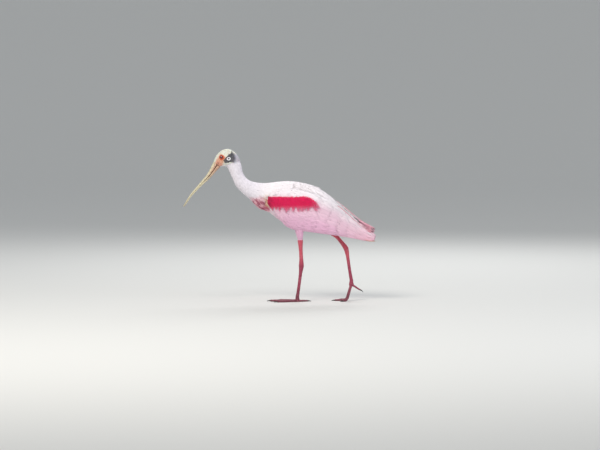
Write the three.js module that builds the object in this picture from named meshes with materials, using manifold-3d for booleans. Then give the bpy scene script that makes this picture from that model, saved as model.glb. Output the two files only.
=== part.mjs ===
// A roseate spoonbill walking, as a still, life-size model.
// Millimetres, +Z up. z = 0 is the floor under the toes, and the bird faces -X, so its left side is at -Y.
import * as THREE from "three";
import { mergeVertices } from "three/addons/utils/BufferGeometryUtils.js";
import Module from "manifold-3d";

const wasm = await Module();
wasm.setup();

// Fit
const SEAM = 0.3; // gap kept between one part of the bird and the next
const WELD = 1e-4; // points closer than this are one point
const DEGREE = Math.PI / 180;
const LEFT = -1;
const RIGHT = 1;

// Trunk, from the face back to the tail coverts. Each station is one slanting slice of the body: the [x, z] of
// its upper edge and of its lower edge, its half width, and how far up from the lower edge it is widest.
const TRUNK = [
  { top: [-201.5, 425.8], bottom: [-180.1, 410.2], half: 13, widest: 0.45 },
  { top: [-194, 444.1], bottom: [-172.5, 411], half: 16.5, widest: 0.5 },
  { top: [-177.4, 460.9], bottom: [-166, 411.1], half: 19.5, widest: 0.52 },
  { top: [-156, 466.1], bottom: [-161.5, 409.5], half: 20.5, widest: 0.55 },
  { top: [-136.8, 456], bottom: [-159, 406], half: 20, widest: 0.55 },
  { top: [-123.1, 438.3], bottom: [-156.2, 401], half: 19, widest: 0.52 },
  { top: [-115.1, 415.1], bottom: [-152, 392], half: 18.2, widest: 0.5 },
  { top: [-110.6, 393.8], bottom: [-144.5, 375], half: 18, widest: 0.5 },
  { top: [-98.7, 375.5], bottom: [-132.5, 351.1], half: 19, widest: 0.5 },
  { top: [-78.2, 365.7], bottom: [-113.3, 330.3], half: 22, widest: 0.5 },
  { top: [-53.8, 362.3], bottom: [-91, 311.4], half: 27, widest: 0.5 },
  { top: [-29.4, 363.3], bottom: [-67.6, 288.2], half: 34, widest: 0.48 },
  { top: [-2, 366.3], bottom: [-34, 273], half: 42, widest: 0.46 },
  { top: [28.5, 367.5], bottom: [2.6, 246], half: 50, widest: 0.45 },
  { top: [65.1, 363.3], bottom: [42.2, 224.2], half: 54, widest: 0.45 },
  { top: [104.8, 352.3], bottom: [86.5, 218.5], half: 54, widest: 0.45 },
  { top: [147.5, 326.8], bottom: [132.2, 216.5], half: 49, widest: 0.45 },
  { top: [187.1, 290.5], bottom: [174.9, 214.5], half: 39, widest: 0.45 },
  { top: [220.7, 258.5], bottom: [211.5, 207.5], half: 27, widest: 0.45 },
  { top: [246, 236], bottom: [240.5, 199], half: 18, widest: 0.42 },
  { top: [267, 220], bottom: [263, 192.5], half: 13, widest: 0.4 },
  { top: [280, 206], bottom: [277, 187.5], half: 10, widest: 0.4 },
];
// Where the trunk is parted, counted in stations.
const FACE = 0;
const NAPE = 6.5;
const MID_NECK = 8.6;
const NECK_ROOT = 11;
const TAIL_ROOT = 19;
const TRUNK_END = 20;
const TRUNK_SIDES = 20;

// Bill. Each station has the [x, z] of the ridge, the depth of both halves there, and the half width.
const BILL = [
  { ridge: [-201.7, 425.5], depth: 26.3, half: 13.2 },
  { ridge: [-210.6, 407.2], depth: 20.5, half: 12 },
  { ridge: [-223.1, 385.5], depth: 15, half: 10.8 },
  { ridge: [-241.7, 363.5], depth: 10.8, half: 10.5 },
  { ridge: [-257.3, 345], depth: 8.6, half: 13.5 },
  { ridge: [-272.8, 326.4], depth: 7.2, half: 21 },
  { ridge: [-284.1, 308.4], depth: 6.2, half: 25.5 },
  { ridge: [-290.2, 298.1], depth: 5.2, half: 22.5 },
  { ridge: [-293.3, 292.9], depth: 4.4, half: 14.5 },
  { ridge: [-294.6, 290.7], depth: 3.6, half: 5 },
];
const BILL_SIDES = 14;
const BILL_RINGS = 18;
const MOUTH = 0.56; // the mouth line's share of the bill's depth, from the ridge
const MOUTH_GAP = 0.5;
const GAPE = 7; // how far the mouth line runs into the face
const NOSTRIL = { along: 13, aside: 5, sink: 2.6, size: [5.5, 1.3, 2] };

// Eyes and ears
const EYE = { x: -176.4, z: 440.5, radius: 7, showing: 1.8 };
const LID = { ring: 6.2, roll: 1.3 };
const EAR = { x: -154.2, z: 436, ring: 4.4, roll: 1, hole: 3 };

// Folded wings. p runs from the bend of the wing to its tip, and q across it. The rims are the |y| of the upper
// and lower edge, the bulge is how far the wing swells out from them, and the depth how far it goes in.
const WING_START = { [LEFT]: [-34, 310.5], [RIGHT]: [-42, 312] };
const WING_TILT = { [LEFT]: 20 * DEGREE, [RIGHT]: 16.8 * DEGREE };
const WING = {
  p: [-4, 4, 20, 45, 75, 105, 140, 180, 220, 260, 300, 330, 345, 349],
  upper: [12, 26, 42, 55, 62, 65.5, 66, 62, 52, 35.5, 20, 14, 10, 6],
  lower: [2, -7, -18, -36, -54, -57, -49.5, -41, -32, -24, -17.5, -12.5, -4.5, 2],
  upperRim: [40, 40, 40, 41, 42, 42, 41, 37.5, 30, 25, 17.5, 10, 7, 6],
  lowerRim: [40, 38, 36, 33, 30, 29, 29, 28, 27, 25, 21, 17, 13, 10],
  bulge: [3, 8, 14, 22, 26, 27, 26, 24, 20, 13, 7, 4.5, 3, 2],
  depth: [6, 14, 25, 30, 30, 30, 30, 26, 18, 9, 5, 4, 3, 2],
};
const WING_SIDES = 14;
const WING_RINGS = 16;
const WING_END = 286; // the fleshy part of the wing stops here, and the feathers run on
const MIDLINE = 1; // the wings stay this far from the middle of the back

// Feathers. Each tier has the p of its roots and tips, and its number of lanes. Each feather follows its lane,
// rises out of the wing by the slope, and leans over the next one below it.
const TIERS = [
  { name: "lesser coverts", root: 20, tip: 76, lanes: 7, slope: 0.07 },
  { name: "median coverts", root: 52, tip: 122, lanes: 8, slope: 0.062 },
  { name: "greater coverts", root: 90, tip: 182, lanes: 8, slope: 0.052 },
  { name: "secondaries", root: 138, tip: 262, lanes: 8, slope: 0.036 },
  { name: "tertials", root: 196, tip: 312, lanes: 6, slope: 0.034 },
  { name: "primaries", root: 246, tip: 348, lanes: 5, slope: 0.03 },
];
const LANES = 0.9; // the lanes run from this far above the middle of the wing to as far below it
const VANE = { thick: 0.8, steps: 5, overlap: 0.62, shingle: 2.4, sink: 3.5, lift: 2 };
const SPREAD = { length: 0.05, root: 2.5, lane: 0.06 }; // how much single feathers differ
const SEED = { [LEFT]: 11, [RIGHT]: 23 };

// Tail. Its feathers fan out under the wing tips, the middle ones on top.
const TAIL = { root: [240, 201], slope: 17 * DEGREE, length: 56, feathers: 8, fan: 7 * DEGREE, half: 7.5, step: 1.2 };

// Legs. Each path runs from inside the thigh to the sole of the foot, as [x, z] and radius.
const HIP_SPREAD = 30; // |y| of each leg at the hip
const FOOT_SPREAD = 17; // and at the foot, as the legs close in below the body
const LEG_SIDES = 12;
const LEFT_LEG = {
  side: LEFT,
  path: [
    { at: [58, 272], radius: 17 },
    { at: [59.5, 234], radius: 16.5 },
    { at: [61.5, 208], radius: 12.5 },
    { at: [63, 188.5], radius: 8.6 },
    { at: [64.6, 158], radius: 5.9 },
    { at: [66, 131], radius: 6.1 },
    { at: [66.4, 110], radius: 7.8 },
    { at: [64.2, 90], radius: 5.4 },
    { at: [60.5, 60], radius: 4.9 },
    { at: [56.2, 28], radius: 5.1 },
    { at: [54.4, 16], radius: 5.6 },
    { at: [54.4, 10], radius: 6.2 },
  ],
  drop: 0,
};
const RIGHT_LEG = {
  side: RIGHT,
  path: [
    { at: [88, 262], radius: 17 },
    { at: [114, 240], radius: 16.5 },
    { at: [140, 223], radius: 12.5 },
    { at: [161, 208], radius: 8.6 },
    { at: [177, 194], radius: 5.9 },
    { at: [189, 179.5], radius: 6.1 },
    { at: [203, 160.5], radius: 7.8 },
    { at: [207.6, 138], radius: 5.4 },
    { at: [212.2, 107], radius: 4.9 },
    { at: [217, 76], radius: 5.1 },
    { at: [219.4, 64], radius: 5.6 },
    { at: [219.4, 58], radius: 6.2 },
  ],
  drop: 72 * DEGREE, // its heel is raised, and the toes bend down to the floor
};
const THIGH_END = 3; // station where the feathers end
const ANKLE = 6; // station of the ankle joint

// Feet. Each toe has its length, its width at the root, and the way it points from straight ahead.
const TOES = {
  inner: { length: 62, radius: 4.2, splay: 31 * DEGREE },
  middle: { length: 82, radius: 4.6, splay: 0 },
  outer: { length: 70, radius: 4.3, splay: -29 * DEGREE },
  hind: { length: 31, radius: 3.8, splay: 172 * DEGREE },
};
const TOE_TIP = 0.68; // a toe's width at its end, as a share of that at its root
const TOE_SIDES = 8;
const TREAD = 0.6; // how much of each toe the floor cuts off, which leaves its flat
const LEVELLING = 9; // a lifted foot's toes start to level out this far above the floor
const HIND_DROOP = 32 * DEGREE; // slope of a lifted hind toe
const CLAW = { length: 11, radius: 2, tip: 0.5, steps: 4, sides: 6 };
const PAD = { radius: 8, height: 10 };
const WEB = { reach: 22, hindReach: 10, thick: 2.6 }; // the toes part from the foot at these distances

// Finishes
const finish = (color, roughness) => new THREE.MeshStandardMaterial({ color, roughness, metalness: 0 });
const FINISHES = {
  bareHead: finish("#c9c4ad", 0.6),
  horn: finish("#cfc6ab", 0.45),
  eye: finish("#a3281c", 0.1),
  whiteDown: finish("#f1ecee", 0.9),
  pinkPlumage: finish("#f3bdd4", 0.85),
  tailBuff: finish("#e9a07c", 0.85),
  legSkin: finish("#b23a4c", 0.55),
  claw: finish("#2b2422", 0.4),
};

// Solids

// The geometry as a closed solid whose faces point out.
function solidOf(geometry) {
  const bare = geometry.clone();
  bare.deleteAttribute("normal");
  bare.deleteAttribute("uv");
  const merged = mergeVertices(bare, WELD);
  const triVerts = new Uint32Array(merged.index.array);
  const make = () =>
    new wasm.Manifold(
      new wasm.Mesh({ numProp: 3, vertProperties: merged.attributes.position.array, triVerts }),
    );
  const made = make();
  if (made.volume() >= 0) return made;
  for (let i = 0; i < triVerts.length; i += 3) {
    [triVerts[i + 1], triVerts[i + 2]] = [triVerts[i + 2], triVerts[i + 1]];
  }
  return make();
}

// A solid as a named mesh that keeps only its largest closed body.
function meshOf(name, solid, material) {
  const bodies = solid.decompose().sort((a, b) => b.volume() - a.volume());
  const surface = bodies[0].getMesh();
  const geometry = new THREE.BufferGeometry();
  geometry.setAttribute("position", new THREE.BufferAttribute(surface.vertProperties, surface.numProp));
  geometry.setIndex(new THREE.BufferAttribute(surface.triVerts, 1));
  geometry.computeVertexNormals();
  const mesh = new THREE.Mesh(geometry, material);
  mesh.name = name;
  return mesh;
}

// A closed tube moved into shape: place(u, angle, reach) gives the point at u of its length and at that angle
// round it, where reach is 1 on its skin and 0 at the middle of an end.
function sweep(rings, sides, place) {
  const tube = new THREE.CylinderGeometry(1, 1, 1, sides, rings);
  const points = tube.attributes.position;
  for (let i = 0; i < points.count; i++) {
    const [a, along, b] = [points.getX(i), points.getY(i), points.getZ(i)];
    const spot = place(0.5 - along, Math.atan2(a, b), Math.min(1, Math.hypot(a, b)));
    points.setXYZ(i, spot.x, spot.y, spot.z);
  }
  return solidOf(tube);
}

function ball(radius, scale, spot, turn = new THREE.Euler()) {
  const shape = new THREE.SphereGeometry(radius, 12, 8);
  shape.scale(...scale);
  shape.applyMatrix4(new THREE.Matrix4().makeRotationFromEuler(turn));
  shape.translate(...spot);
  return solidOf(shape);
}

// Everything below the floor, which each foot is cut by.
const underFloor = solidOf(new THREE.BoxGeometry(1200, 400, 100).translate(0, 0, -50));

const joined = (solids) => solids.reduce((all, next) => all.add(next));
const lerp = THREE.MathUtils.lerp;

// A smooth line through values at knots, for any x between the first and the last.
function smoothLine(knots, values) {
  const slope = (i) => {
    const [a, b] = [Math.max(0, i - 1), Math.min(knots.length - 1, i + 1)];
    return (values[b] - values[a]) / (knots[b] - knots[a]);
  };
  return (x) => {
    let i = 0;
    while (i < knots.length - 2 && x > knots[i + 1]) i++;
    const span = knots[i + 1] - knots[i];
    const t = THREE.MathUtils.clamp((x - knots[i]) / span, 0, 1);
    const [t2, t3] = [t * t, t * t * t];
    return (
      (2 * t3 - 3 * t2 + 1) * values[i] +
      (t3 - 2 * t2 + t) * span * slope(i) +
      (3 * t2 - 2 * t3) * values[i + 1] +
      (t3 - t2) * span * slope(i + 1)
    );
  };
}

// Trunk and bill: smooth bodies through slanting slices

class Slices {
  constructor(stations) {
    const curve = (points) => new THREE.CatmullRomCurve3(points, false, "centripetal");
    this.last = stations.length - 1;
    this.tops = curve(stations.map((s) => new THREE.Vector3(s.top[0], 0, s.top[1])));
    this.bottoms = curve(stations.map((s) => new THREE.Vector3(s.bottom[0], 0, s.bottom[1])));
    const places = stations.map((_, i) => i);
    this.half = smoothLine(places, stations.map((s) => s.half));
    this.widest = smoothLine(places, stations.map((s) => s.widest));
  }

  // The point at a station and an angle from straight up, with the skin moved out by grow.
  point(station, angle, reach = 1, grow = 0) {
    const top = this.tops.getPoint(station / this.last);
    const bottom = this.bottoms.getPoint(station / this.last);
    const chord = top.clone().sub(bottom);
    const depth = chord.length();
    const widest = this.widest(station);
    const share = Math.cos(angle) >= 0 ? 1 - widest : widest;
    const spot = bottom.clone().addScaledVector(chord, widest);
    spot.addScaledVector(chord.normalize(), Math.cos(angle) * (depth * share + grow) * reach);
    spot.y = Math.sin(angle) * (this.half(station) + grow) * reach;
    return spot;
  }

  // The body between two stations.
  piece(from, to, rings, sides, grow = 0) {
    return sweep(rings, sides, (u, angle, reach) => this.point(lerp(from, to, u), angle, reach, grow));
  }
}

const trunk = new Slices(TRUNK);
const SEAM_SHARE = 0.018; // the seam between two lengths of the trunk, in stations

// The trunk's skin moved out, which whatever lies against the body is cut by.
const trunkClearance = trunk.piece(NECK_ROOT - 1, TRUNK_END + 0.05, 20, TRUNK_SIDES, 2 * SEAM);

function buildNeck() {
  return [
    meshOf("neck_upper", trunk.piece(NAPE + SEAM_SHARE, MID_NECK, 6, TRUNK_SIDES), FINISHES.whiteDown),
    meshOf(
      "neck_lower",
      trunk.piece(MID_NECK + SEAM_SHARE, NECK_ROOT, 7, TRUNK_SIDES),
      FINISHES.whiteDown,
    ),
  ];
}

function buildTorso() {
  const torso = trunk.piece(NECK_ROOT + SEAM_SHARE, TAIL_ROOT, 16, TRUNK_SIDES);
  return meshOf("torso", torso, FINISHES.pinkPlumage);
}

// Head, with its lids, ears and the corner of the mouth

// The |y| of the head's skin at x, z, found by going round the slice that passes there.
function headWidthAt(x, z) {
  let best = { gap: Infinity, y: 0 };
  for (let station = FACE; station <= NAPE; station += 0.05) {
    for (let angle = 0; angle <= Math.PI; angle += 0.05) {
      const spot = trunk.point(station, angle);
      const gap = Math.hypot(spot.x - x, spot.z - z);
      if (gap < best.gap) best = { gap, y: spot.y };
    }
  }
  return best.y;
}

const eyeOut = headWidthAt(EYE.x, EYE.z) + EYE.showing - EYE.radius;
const earOut = headWidthAt(EAR.x, EAR.z);

function ring(radius, roll, spot) {
  const torus = new THREE.TorusGeometry(radius, roll, 5, 12);
  torus.rotateX(90 * DEGREE);
  torus.translate(...spot);
  return solidOf(torus);
}

// The way across the bill's depth at a station. At the first one it is the slant of the face.
function acrossBill(index) {
  if (index === 0) {
    const { top, bottom } = TRUNK[0];
    return new THREE.Vector2(bottom[0] - top[0], bottom[1] - top[1]).normalize();
  }
  const before = BILL[Math.max(0, index - 1)].ridge;
  const after = BILL[Math.min(BILL.length - 1, index + 1)].ridge;
  const along = new THREE.Vector2(after[0] - before[0], after[1] - before[1]).normalize();
  return new THREE.Vector2(-along.y, along.x);
}

function belowRidge(index, depth) {
  const [x, z] = BILL[index].ridge;
  const across = acrossBill(index);
  return [x + across.x * depth, z + across.y * depth];
}

function buildHead() {
  const skull = trunk.piece(FACE, NAPE, 13, TRUNK_SIDES);
  const lids = [LEFT, RIGHT].map((side) =>
    ring(LID.ring, LID.roll, [EYE.x, side * (eyeOut + EYE.radius - EYE.showing - 0.2), EYE.z]),
  );
  const ears = [LEFT, RIGHT].map((side) => ring(EAR.ring, EAR.roll, [EAR.x, side * (earOut - 0.2), EAR.z]));
  const sockets = [LEFT, RIGHT].map((side) =>
    ball(EYE.radius + SEAM, [1, 1, 1], [EYE.x, side * eyeOut, EYE.z]),
  );
  const earHole = (side) => ball(EAR.hole, [1, 1.2, 1], [EAR.x, side * (earOut + 0.8), EAR.z]);
  const earHoles = [LEFT, RIGHT].map(earHole);
  const mouth = belowRidge(0, BILL[0].depth * MOUTH);
  const gape = new THREE.BoxGeometry(2 * GAPE, 60, MOUTH_GAP);
  const { top, bottom } = TRUNK[0];
  gape.rotateY(Math.atan2(bottom[0] - top[0], top[1] - bottom[1]) - 90 * DEGREE);
  gape.translate(mouth[0], 0, mouth[1]);
  const face = joined([skull, ...lids, ...ears]);
  return meshOf("head", face.subtract(joined([...sockets, ...earHoles, solidOf(gape)])), FINISHES.bareHead);
}

function buildEyes() {
  return [
    ["eye_left", LEFT],
    ["eye_right", RIGHT],
  ].map(([name, side]) =>
    meshOf(name, ball(EYE.radius, [1, 1, 1], [EYE.x, side * eyeOut, EYE.z]), FINISHES.eye),
  );
}

// One half of the bill, between two shares of its depth, widest where the halves meet.
function billHalf(fromShare, toShare, widest) {
  const stations = BILL.map((s, i) => ({
    top: belowRidge(i, s.depth * fromShare + (fromShare > 0 ? MOUTH_GAP / 2 : 0)),
    bottom: belowRidge(i, s.depth * toShare - (toShare < 1 ? MOUTH_GAP / 2 : 0)),
    half: s.half,
    widest,
  }));
  const halfBill = new Slices(stations);
  return halfBill.piece(0, halfBill.last, BILL_RINGS, BILL_SIDES);
}

function buildBill() {
  const across = acrossBill(0);
  const root = new THREE.Vector2(...BILL[0].ridge);
  const tipward = new THREE.Vector2(across.y, -across.x);
  const nostrils = [LEFT, RIGHT].map((side) => {
    const spot = root
      .clone()
      .addScaledVector(tipward, NOSTRIL.along)
      .addScaledVector(across, NOSTRIL.sink);
    const turn = new THREE.Euler(0, -Math.atan2(tipward.y, tipward.x), 0);
    return ball(1, NOSTRIL.size, [spot.x, side * NOSTRIL.aside, spot.y], turn);
  });
  return [
    meshOf("bill_upper", billHalf(0, MOUTH, 0.22).subtract(joined(nostrils)), FINISHES.horn),
    meshOf("bill_lower", billHalf(MOUTH, 1, 0.75), FINISHES.horn),
  ];
}

// Legs: one smooth limb each, parted where the feathers end and at the ankle

class Limb {
  constructor({ side, path }) {
    this.side = side;
    this.last = path.length - 1;
    const points = path.map(
      (s, i) => {
        const spread = lerp(HIP_SPREAD, FOOT_SPREAD, Math.min(1, i / (this.last - 1)));
        return new THREE.Vector3(s.at[0], side * spread, s.at[1]);
      },
    );
    this.line = new THREE.CatmullRomCurve3(points, false, "centripetal");
    this.radius = smoothLine(path.map((_, i) => i), path.map((s) => s.radius));
  }

  piece(from, to, rings, grow = 0) {
    const aside = new THREE.Vector3(0, 1, 0);
    return sweep(rings, LEG_SIDES, (u, angle, reach) => {
      const station = lerp(from, to, u);
      const spot = this.line.getPoint(station / this.last);
      const forward = new THREE.Vector3().crossVectors(this.line.getTangent(station / this.last), aside);
      const size = (this.radius(station) + grow) * reach;
      spot.addScaledVector(forward.normalize(), Math.cos(angle) * size);
      return spot.addScaledVector(aside, Math.sin(angle) * size);
    });
  }
}

const LIMB_SEAM = 0.02; // the seam across a leg, in stations
const limbs = { left: new Limb(LEFT_LEG), right: new Limb(RIGHT_LEG) };
const thighClearance = Object.values(limbs).map((limb) => limb.piece(0, THIGH_END, 6, 2 * SEAM));

function buildLeg(name, limb) {
  const thigh = limb.piece(0, THIGH_END, 6).subtract(trunkClearance);
  return [
    meshOf("thigh_" + name, thigh, FINISHES.pinkPlumage),
    meshOf("shank_" + name, limb.piece(THIGH_END + LIMB_SEAM, ANKLE, 8), FINISHES.legSkin),
    meshOf("tarsus_" + name, limb.piece(ANKLE + LIMB_SEAM, limb.last, 10), FINISHES.legSkin),
  ];
}

// Feet: a pad with small webs, three toes ahead and one behind, each with its claw

const soleOf = (leg) => leg.path.at(-1).at;

// A toe's centre line from the middle of the foot to its end, running down to the floor and then along it.
function toeCurve(leg, toe) {
  const hind = Math.abs(toe.splay) > Math.PI / 2;
  let ahead = 0;
  let height = Math.max(toe.radius - TREAD, soleOf(leg)[1] - PAD.height / 2 - 2);
  const spots = [];
  for (let run = 0; run <= toe.length; run++) {
    spots.push(
      new THREE.Vector3(
        soleOf(leg)[0] - Math.cos(toe.splay) * ahead,
        leg.side * (FOOT_SPREAD - Math.sin(toe.splay) * run),
        height,
      ),
    );
    const rest = toe.radius * lerp(1, TOE_TIP, run / toe.length) - TREAD;
    const share = THREE.MathUtils.clamp((height - rest) / LEVELLING, 0, 1);
    const levelling = hind ? HIND_DROOP : leg.drop * Math.sqrt(share);
    const slope = leg.drop > 0 ? levelling : 0;
    ahead += Math.cos(slope);
    height = Math.max(rest, height - Math.sin(slope));
  }
  return new THREE.CatmullRomCurve3(spots);
}

// A round limb along place(u), a point and the way it heads, with its section square to that heading.
function roundLimb(rings, sides, aside, place, size) {
  return sweep(rings, sides, (u, angle, reach) => {
    const { point, heading } = place(u);
    const up = new THREE.Vector3().crossVectors(heading, aside).normalize();
    point.addScaledVector(up, Math.cos(angle) * size(u) * reach);
    return point.addScaledVector(aside, Math.sin(angle) * size(u) * reach);
  });
}

function buildToe(name, leg, toe) {
  const curve = toeCurve(leg, toe);
  const reach = Math.abs(toe.splay) > Math.PI / 2 ? WEB.hindReach : WEB.reach;
  const across = curve.getPoint(1).sub(curve.getPoint(0));
  const aside = new THREE.Vector3(-across.y, across.x, 0).normalize();
  const length = (from, to, rings) =>
    roundLimb(
      rings,
      TOE_SIDES,
      aside,
      (u) => {
        const share = lerp(from, to, u) / toe.length;
        return { point: curve.getPoint(share), heading: curve.getTangent(share) };
      },
      (u) => toe.radius * lerp(1, TOE_TIP, lerp(from, to, u) / toe.length),
    ).subtract(underFloor);
  const end = curve.getPoint(1);
  const heading = curve.getTangent(1);
  const tipHeight = Math.max(CLAW.tip + 0.1, end.z + heading.z * CLAW.length - 1.5);
  const alongClaw = (u) => {
    const point = end.clone().addScaledVector(heading, SEAM + u * CLAW.length);
    point.z = lerp(end.z + heading.z * SEAM, tipHeight, u * u);
    return { point, heading };
  };
  const clawSize = (u) => lerp(CLAW.radius, CLAW.tip, u);
  const claw = roundLimb(CLAW.steps, CLAW.sides, aside, alongClaw, clawSize).subtract(underFloor);
  return {
    curve,
    root: length(0, reach, 4),
    meshes: [
      meshOf("toe_" + name, length(reach + SEAM, toe.length, 9), FINISHES.legSkin),
      meshOf("claw_" + name, claw, FINISHES.claw),
    ],
  };
}

// The web between two toes, from the pad out to where the toes part.
function buildWeb(one, other) {
  return sweep(4, TOE_SIDES, (u, angle, reach) => {
    const along = (toe) => lerp(0.1, 0.94, u) * (WEB.reach / toe.curve.points.length);
    const spots = [one, other].map((toe) => toe.curve.getPoint(along(toe)));
    const middle = spots[0].clone().add(spots[1]).multiplyScalar(0.5);
    const half = spots[1].clone().sub(middle);
    middle.addScaledVector(half, Math.sin(angle) * reach);
    middle.z += Math.cos(angle) * reach * (WEB.thick / 2);
    return middle;
  });
}

function buildFoot(name, leg) {
  const [x, z] = soleOf(leg);
  const toes = Object.fromEntries(
    Object.entries(TOES).map(([toeName, toe]) => [toeName, buildToe(name + "_" + toeName, leg, toe)]),
  );
  const flat = Math.max(0, z - PAD.height);
  const top = z - SEAM;
  const pad = new THREE.CylinderGeometry(leg.path.at(-1).radius, PAD.radius, top - flat, LEG_SIDES, 1);
  pad.rotateX(90 * DEGREE);
  pad.translate(x, leg.side * FOOT_SPREAD, (top + flat) / 2);
  const webs = [buildWeb(toes.inner, toes.middle), buildWeb(toes.middle, toes.outer)];
  const roots = Object.values(toes).map((toe) => toe.root);
  const foot = joined([solidOf(pad), ...roots, ...webs]).subtract(underFloor);
  return [
    meshOf("foot_" + name, foot, FINISHES.legSkin),
    ...Object.values(toes).flatMap((toe) => toe.meshes),
  ];
}

// Feathers

// A thin vane. place(t, s, lift) gives the point at t of its length, s of its half width and lift off its middle.
function vane(place) {
  const sheet = new THREE.PlaneGeometry(2, 1, 1, VANE.steps);
  const count = sheet.attributes.position.count;
  const spots = [];
  for (const lift of [VANE.thick / 2, -VANE.thick / 2]) {
    for (let i = 0; i < count; i++) {
      const t = 1 - (0.5 + sheet.attributes.position.getY(i)) ** 1.4;
      const rounding = THREE.MathUtils.clamp((t - 0.68) / 0.32, 0, 1);
      const half = Math.min(1, 0.5 + 1.7 * t) * Math.sqrt(1 - 0.88 * rounding ** 2);
      spots.push(...place(t, sheet.attributes.position.getX(i) * half, lift).toArray());
    }
  }
  const faces = [...sheet.index.array];
  for (let i = 0; i < sheet.index.count; i += 3) {
    faces.push(...[2, 1, 0].map((k) => sheet.index.array[i + k] + count));
  }
  const left = Array.from({ length: VANE.steps + 1 }, (_, i) => 2 * i);
  const rim = [...left, ...left.map((i) => i + 1).reverse()];
  rim.forEach((a, i) => {
    const b = rim[(i + 1) % rim.length];
    faces.push(b, a, a + count, b, a + count, b + count);
  });
  const shell = new THREE.BufferGeometry();
  shell.setAttribute("position", new THREE.Float32BufferAttribute(spots, 3));
  shell.setIndex(faces);
  return solidOf(shell);
}

// Repeatable chance, from -1 to 1.
function chanceFrom(seed) {
  let state = seed;
  return () => {
    state = (state * 16807) % 2147483647;
    return (state / 2147483647) * 2 - 1;
  };
}

// Tail

// One feather of the tail, with its skin moved out by grow.
function tailFeather(index, grow = 0) {
  const side = index - (TAIL.feathers - 1) / 2;
  const turn = side * TAIL.fan;
  return vane((t, s, lift) => {
    const along = t * (TAIL.length * (1 - 0.012 * side * side) + grow);
    const across = s * (TAIL.half + grow);
    const out = along * Math.cos(turn) - across * Math.sin(turn);
    const y = side * 2.2 + along * Math.sin(turn) + across * Math.cos(turn);
    const height = lift + Math.sign(lift) * grow - Math.abs(side) * TAIL.step;
    return new THREE.Vector3(
      TAIL.root[0] + out * Math.cos(TAIL.slope) + height * Math.sin(TAIL.slope),
      y,
      TAIL.root[1] - out * Math.sin(TAIL.slope) + height * Math.cos(TAIL.slope),
    );
  });
}

const tailFeathers = (grow) => joined(Array.from({ length: TAIL.feathers }, (_, i) => tailFeather(i, grow)));

function buildTail() {
  const stub = trunk.piece(TAIL_ROOT + SEAM_SHARE, TRUNK_END, 3, TRUNK_SIDES);
  const rump = trunk.piece(TAIL_ROOT - 3, TAIL_ROOT + SEAM_SHARE, 8, TRUNK_SIDES, 2 * SEAM);
  return meshOf("tail", stub.add(tailFeathers(0)).subtract(rump), FINISHES.tailBuff);
}

// Wings

const wingLine = Object.fromEntries(
  Object.entries(WING)
    .filter(([key]) => key !== "p")
    .map(([key, values]) => [key, smoothLine(WING.p, values)]),
);

// The point of a wing at p, and at an angle round it from its upper edge over its outer side.
function wingPoint(side, p, angle, reach) {
  const [upper, lower] = [wingLine.upper(p), wingLine.lower(p)];
  const v = Math.cos(angle) * reach;
  const out = Math.sin(angle) * reach;
  const q = lerp(lower, upper, (v + 1) / 2);
  const rim = lerp(wingLine.lowerRim(p), wingLine.upperRim(p), (v + 1) / 2);
  const y = rim + out * (out > 0 ? wingLine.bulge(p) : wingLine.depth(p));
  const tilt = WING_TILT[side];
  return new THREE.Vector3(
    WING_START[side][0] + p * Math.cos(tilt) + q * Math.sin(tilt),
    side * Math.max(MIDLINE, y),
    WING_START[side][1] - p * Math.sin(tilt) + q * Math.cos(tilt),
  );
}

// The point at a height off the wing's outer side, at p and at a share v from its lower edge, -1, to its upper, 1.
function offWing(side, p, v, height) {
  const angle = Math.acos(THREE.MathUtils.clamp(v, -0.985, 0.985));
  const spot = wingPoint(side, p, angle, 1);
  const along = wingPoint(side, p + 0.5, angle, 1).sub(wingPoint(side, p - 0.5, angle, 1));
  const around = wingPoint(side, p, angle + 0.01, 1).sub(wingPoint(side, p, angle - 0.01, 1));
  return spot.addScaledVector(along.cross(around).normalize(), side * height);
}

function wingFeathers(side) {
  const chance = chanceFrom(SEED[side]);
  return TIERS.flatMap((tier) => {
    const lane = (2 * LANES) / tier.lanes;
    return Array.from({ length: tier.lanes }, (_, i) => {
      const middle = -LANES + lane * (i + 0.5 + SPREAD.lane * chance());
      const root = tier.root + SPREAD.root * chance();
      const length = (tier.tip - tier.root) * (1 + SPREAD.length * (chance() - 1));
      return vane((t, s, lift) => {
        const v = middle + s * lane * VANE.overlap;
        const lean = (VANE.shingle * (v - middle)) / lane;
        const height = tier.slope * t * length + VANE.lift - (VANE.lift + VANE.sink) * (1 - t) ** 5;
        return offWing(side, root + t * length, v, height + lean + lift);
      });
    });
  });
}

function buildWing(name, side) {
  const first = WING.p[0];
  const core = sweep(WING_RINGS, WING_SIDES, (u, angle, reach) =>
    wingPoint(side, lerp(first, WING_END, (1 - Math.cos(Math.PI * u)) / 2), angle, reach),
  );
  const clearance = joined([trunkClearance, ...thighClearance, tailFeathers(2 * SEAM)]);
  const wing = joined([core, ...wingFeathers(side)]).subtract(clearance);
  return meshOf("wing_" + name, wing, FINISHES.pinkPlumage);
}

const spoonbill = new THREE.Group();
spoonbill.add(buildHead(), ...buildEyes(), ...buildBill(), ...buildNeck(), buildTorso(), buildTail());
spoonbill.add(buildWing("left", LEFT), buildWing("right", RIGHT));
spoonbill.add(...buildLeg("left", limbs.left), ...buildLeg("right", limbs.right));
spoonbill.add(...buildFoot("left", LEFT_LEG), ...buildFoot("right", RIGHT_LEG));

export default spoonbill;
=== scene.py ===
# %% [markdown]
# # A roseate spoonbill, life size
# The CAD model gives the bird's solid forms, and this lesson gives it skin, feathers, horn and eyes.
# The scene is in metres in the CAD model's own frame, where +Z is up and the bird faces -X with its left side
# at -Y. Measurements are given in millimetres, and MM turns them into metres.

# %% Setting up
import math

import bmesh
import bpy
import numpy as np
from mathutils import Matrix, Vector
from mathutils.bvhtree import BVHTree


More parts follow.
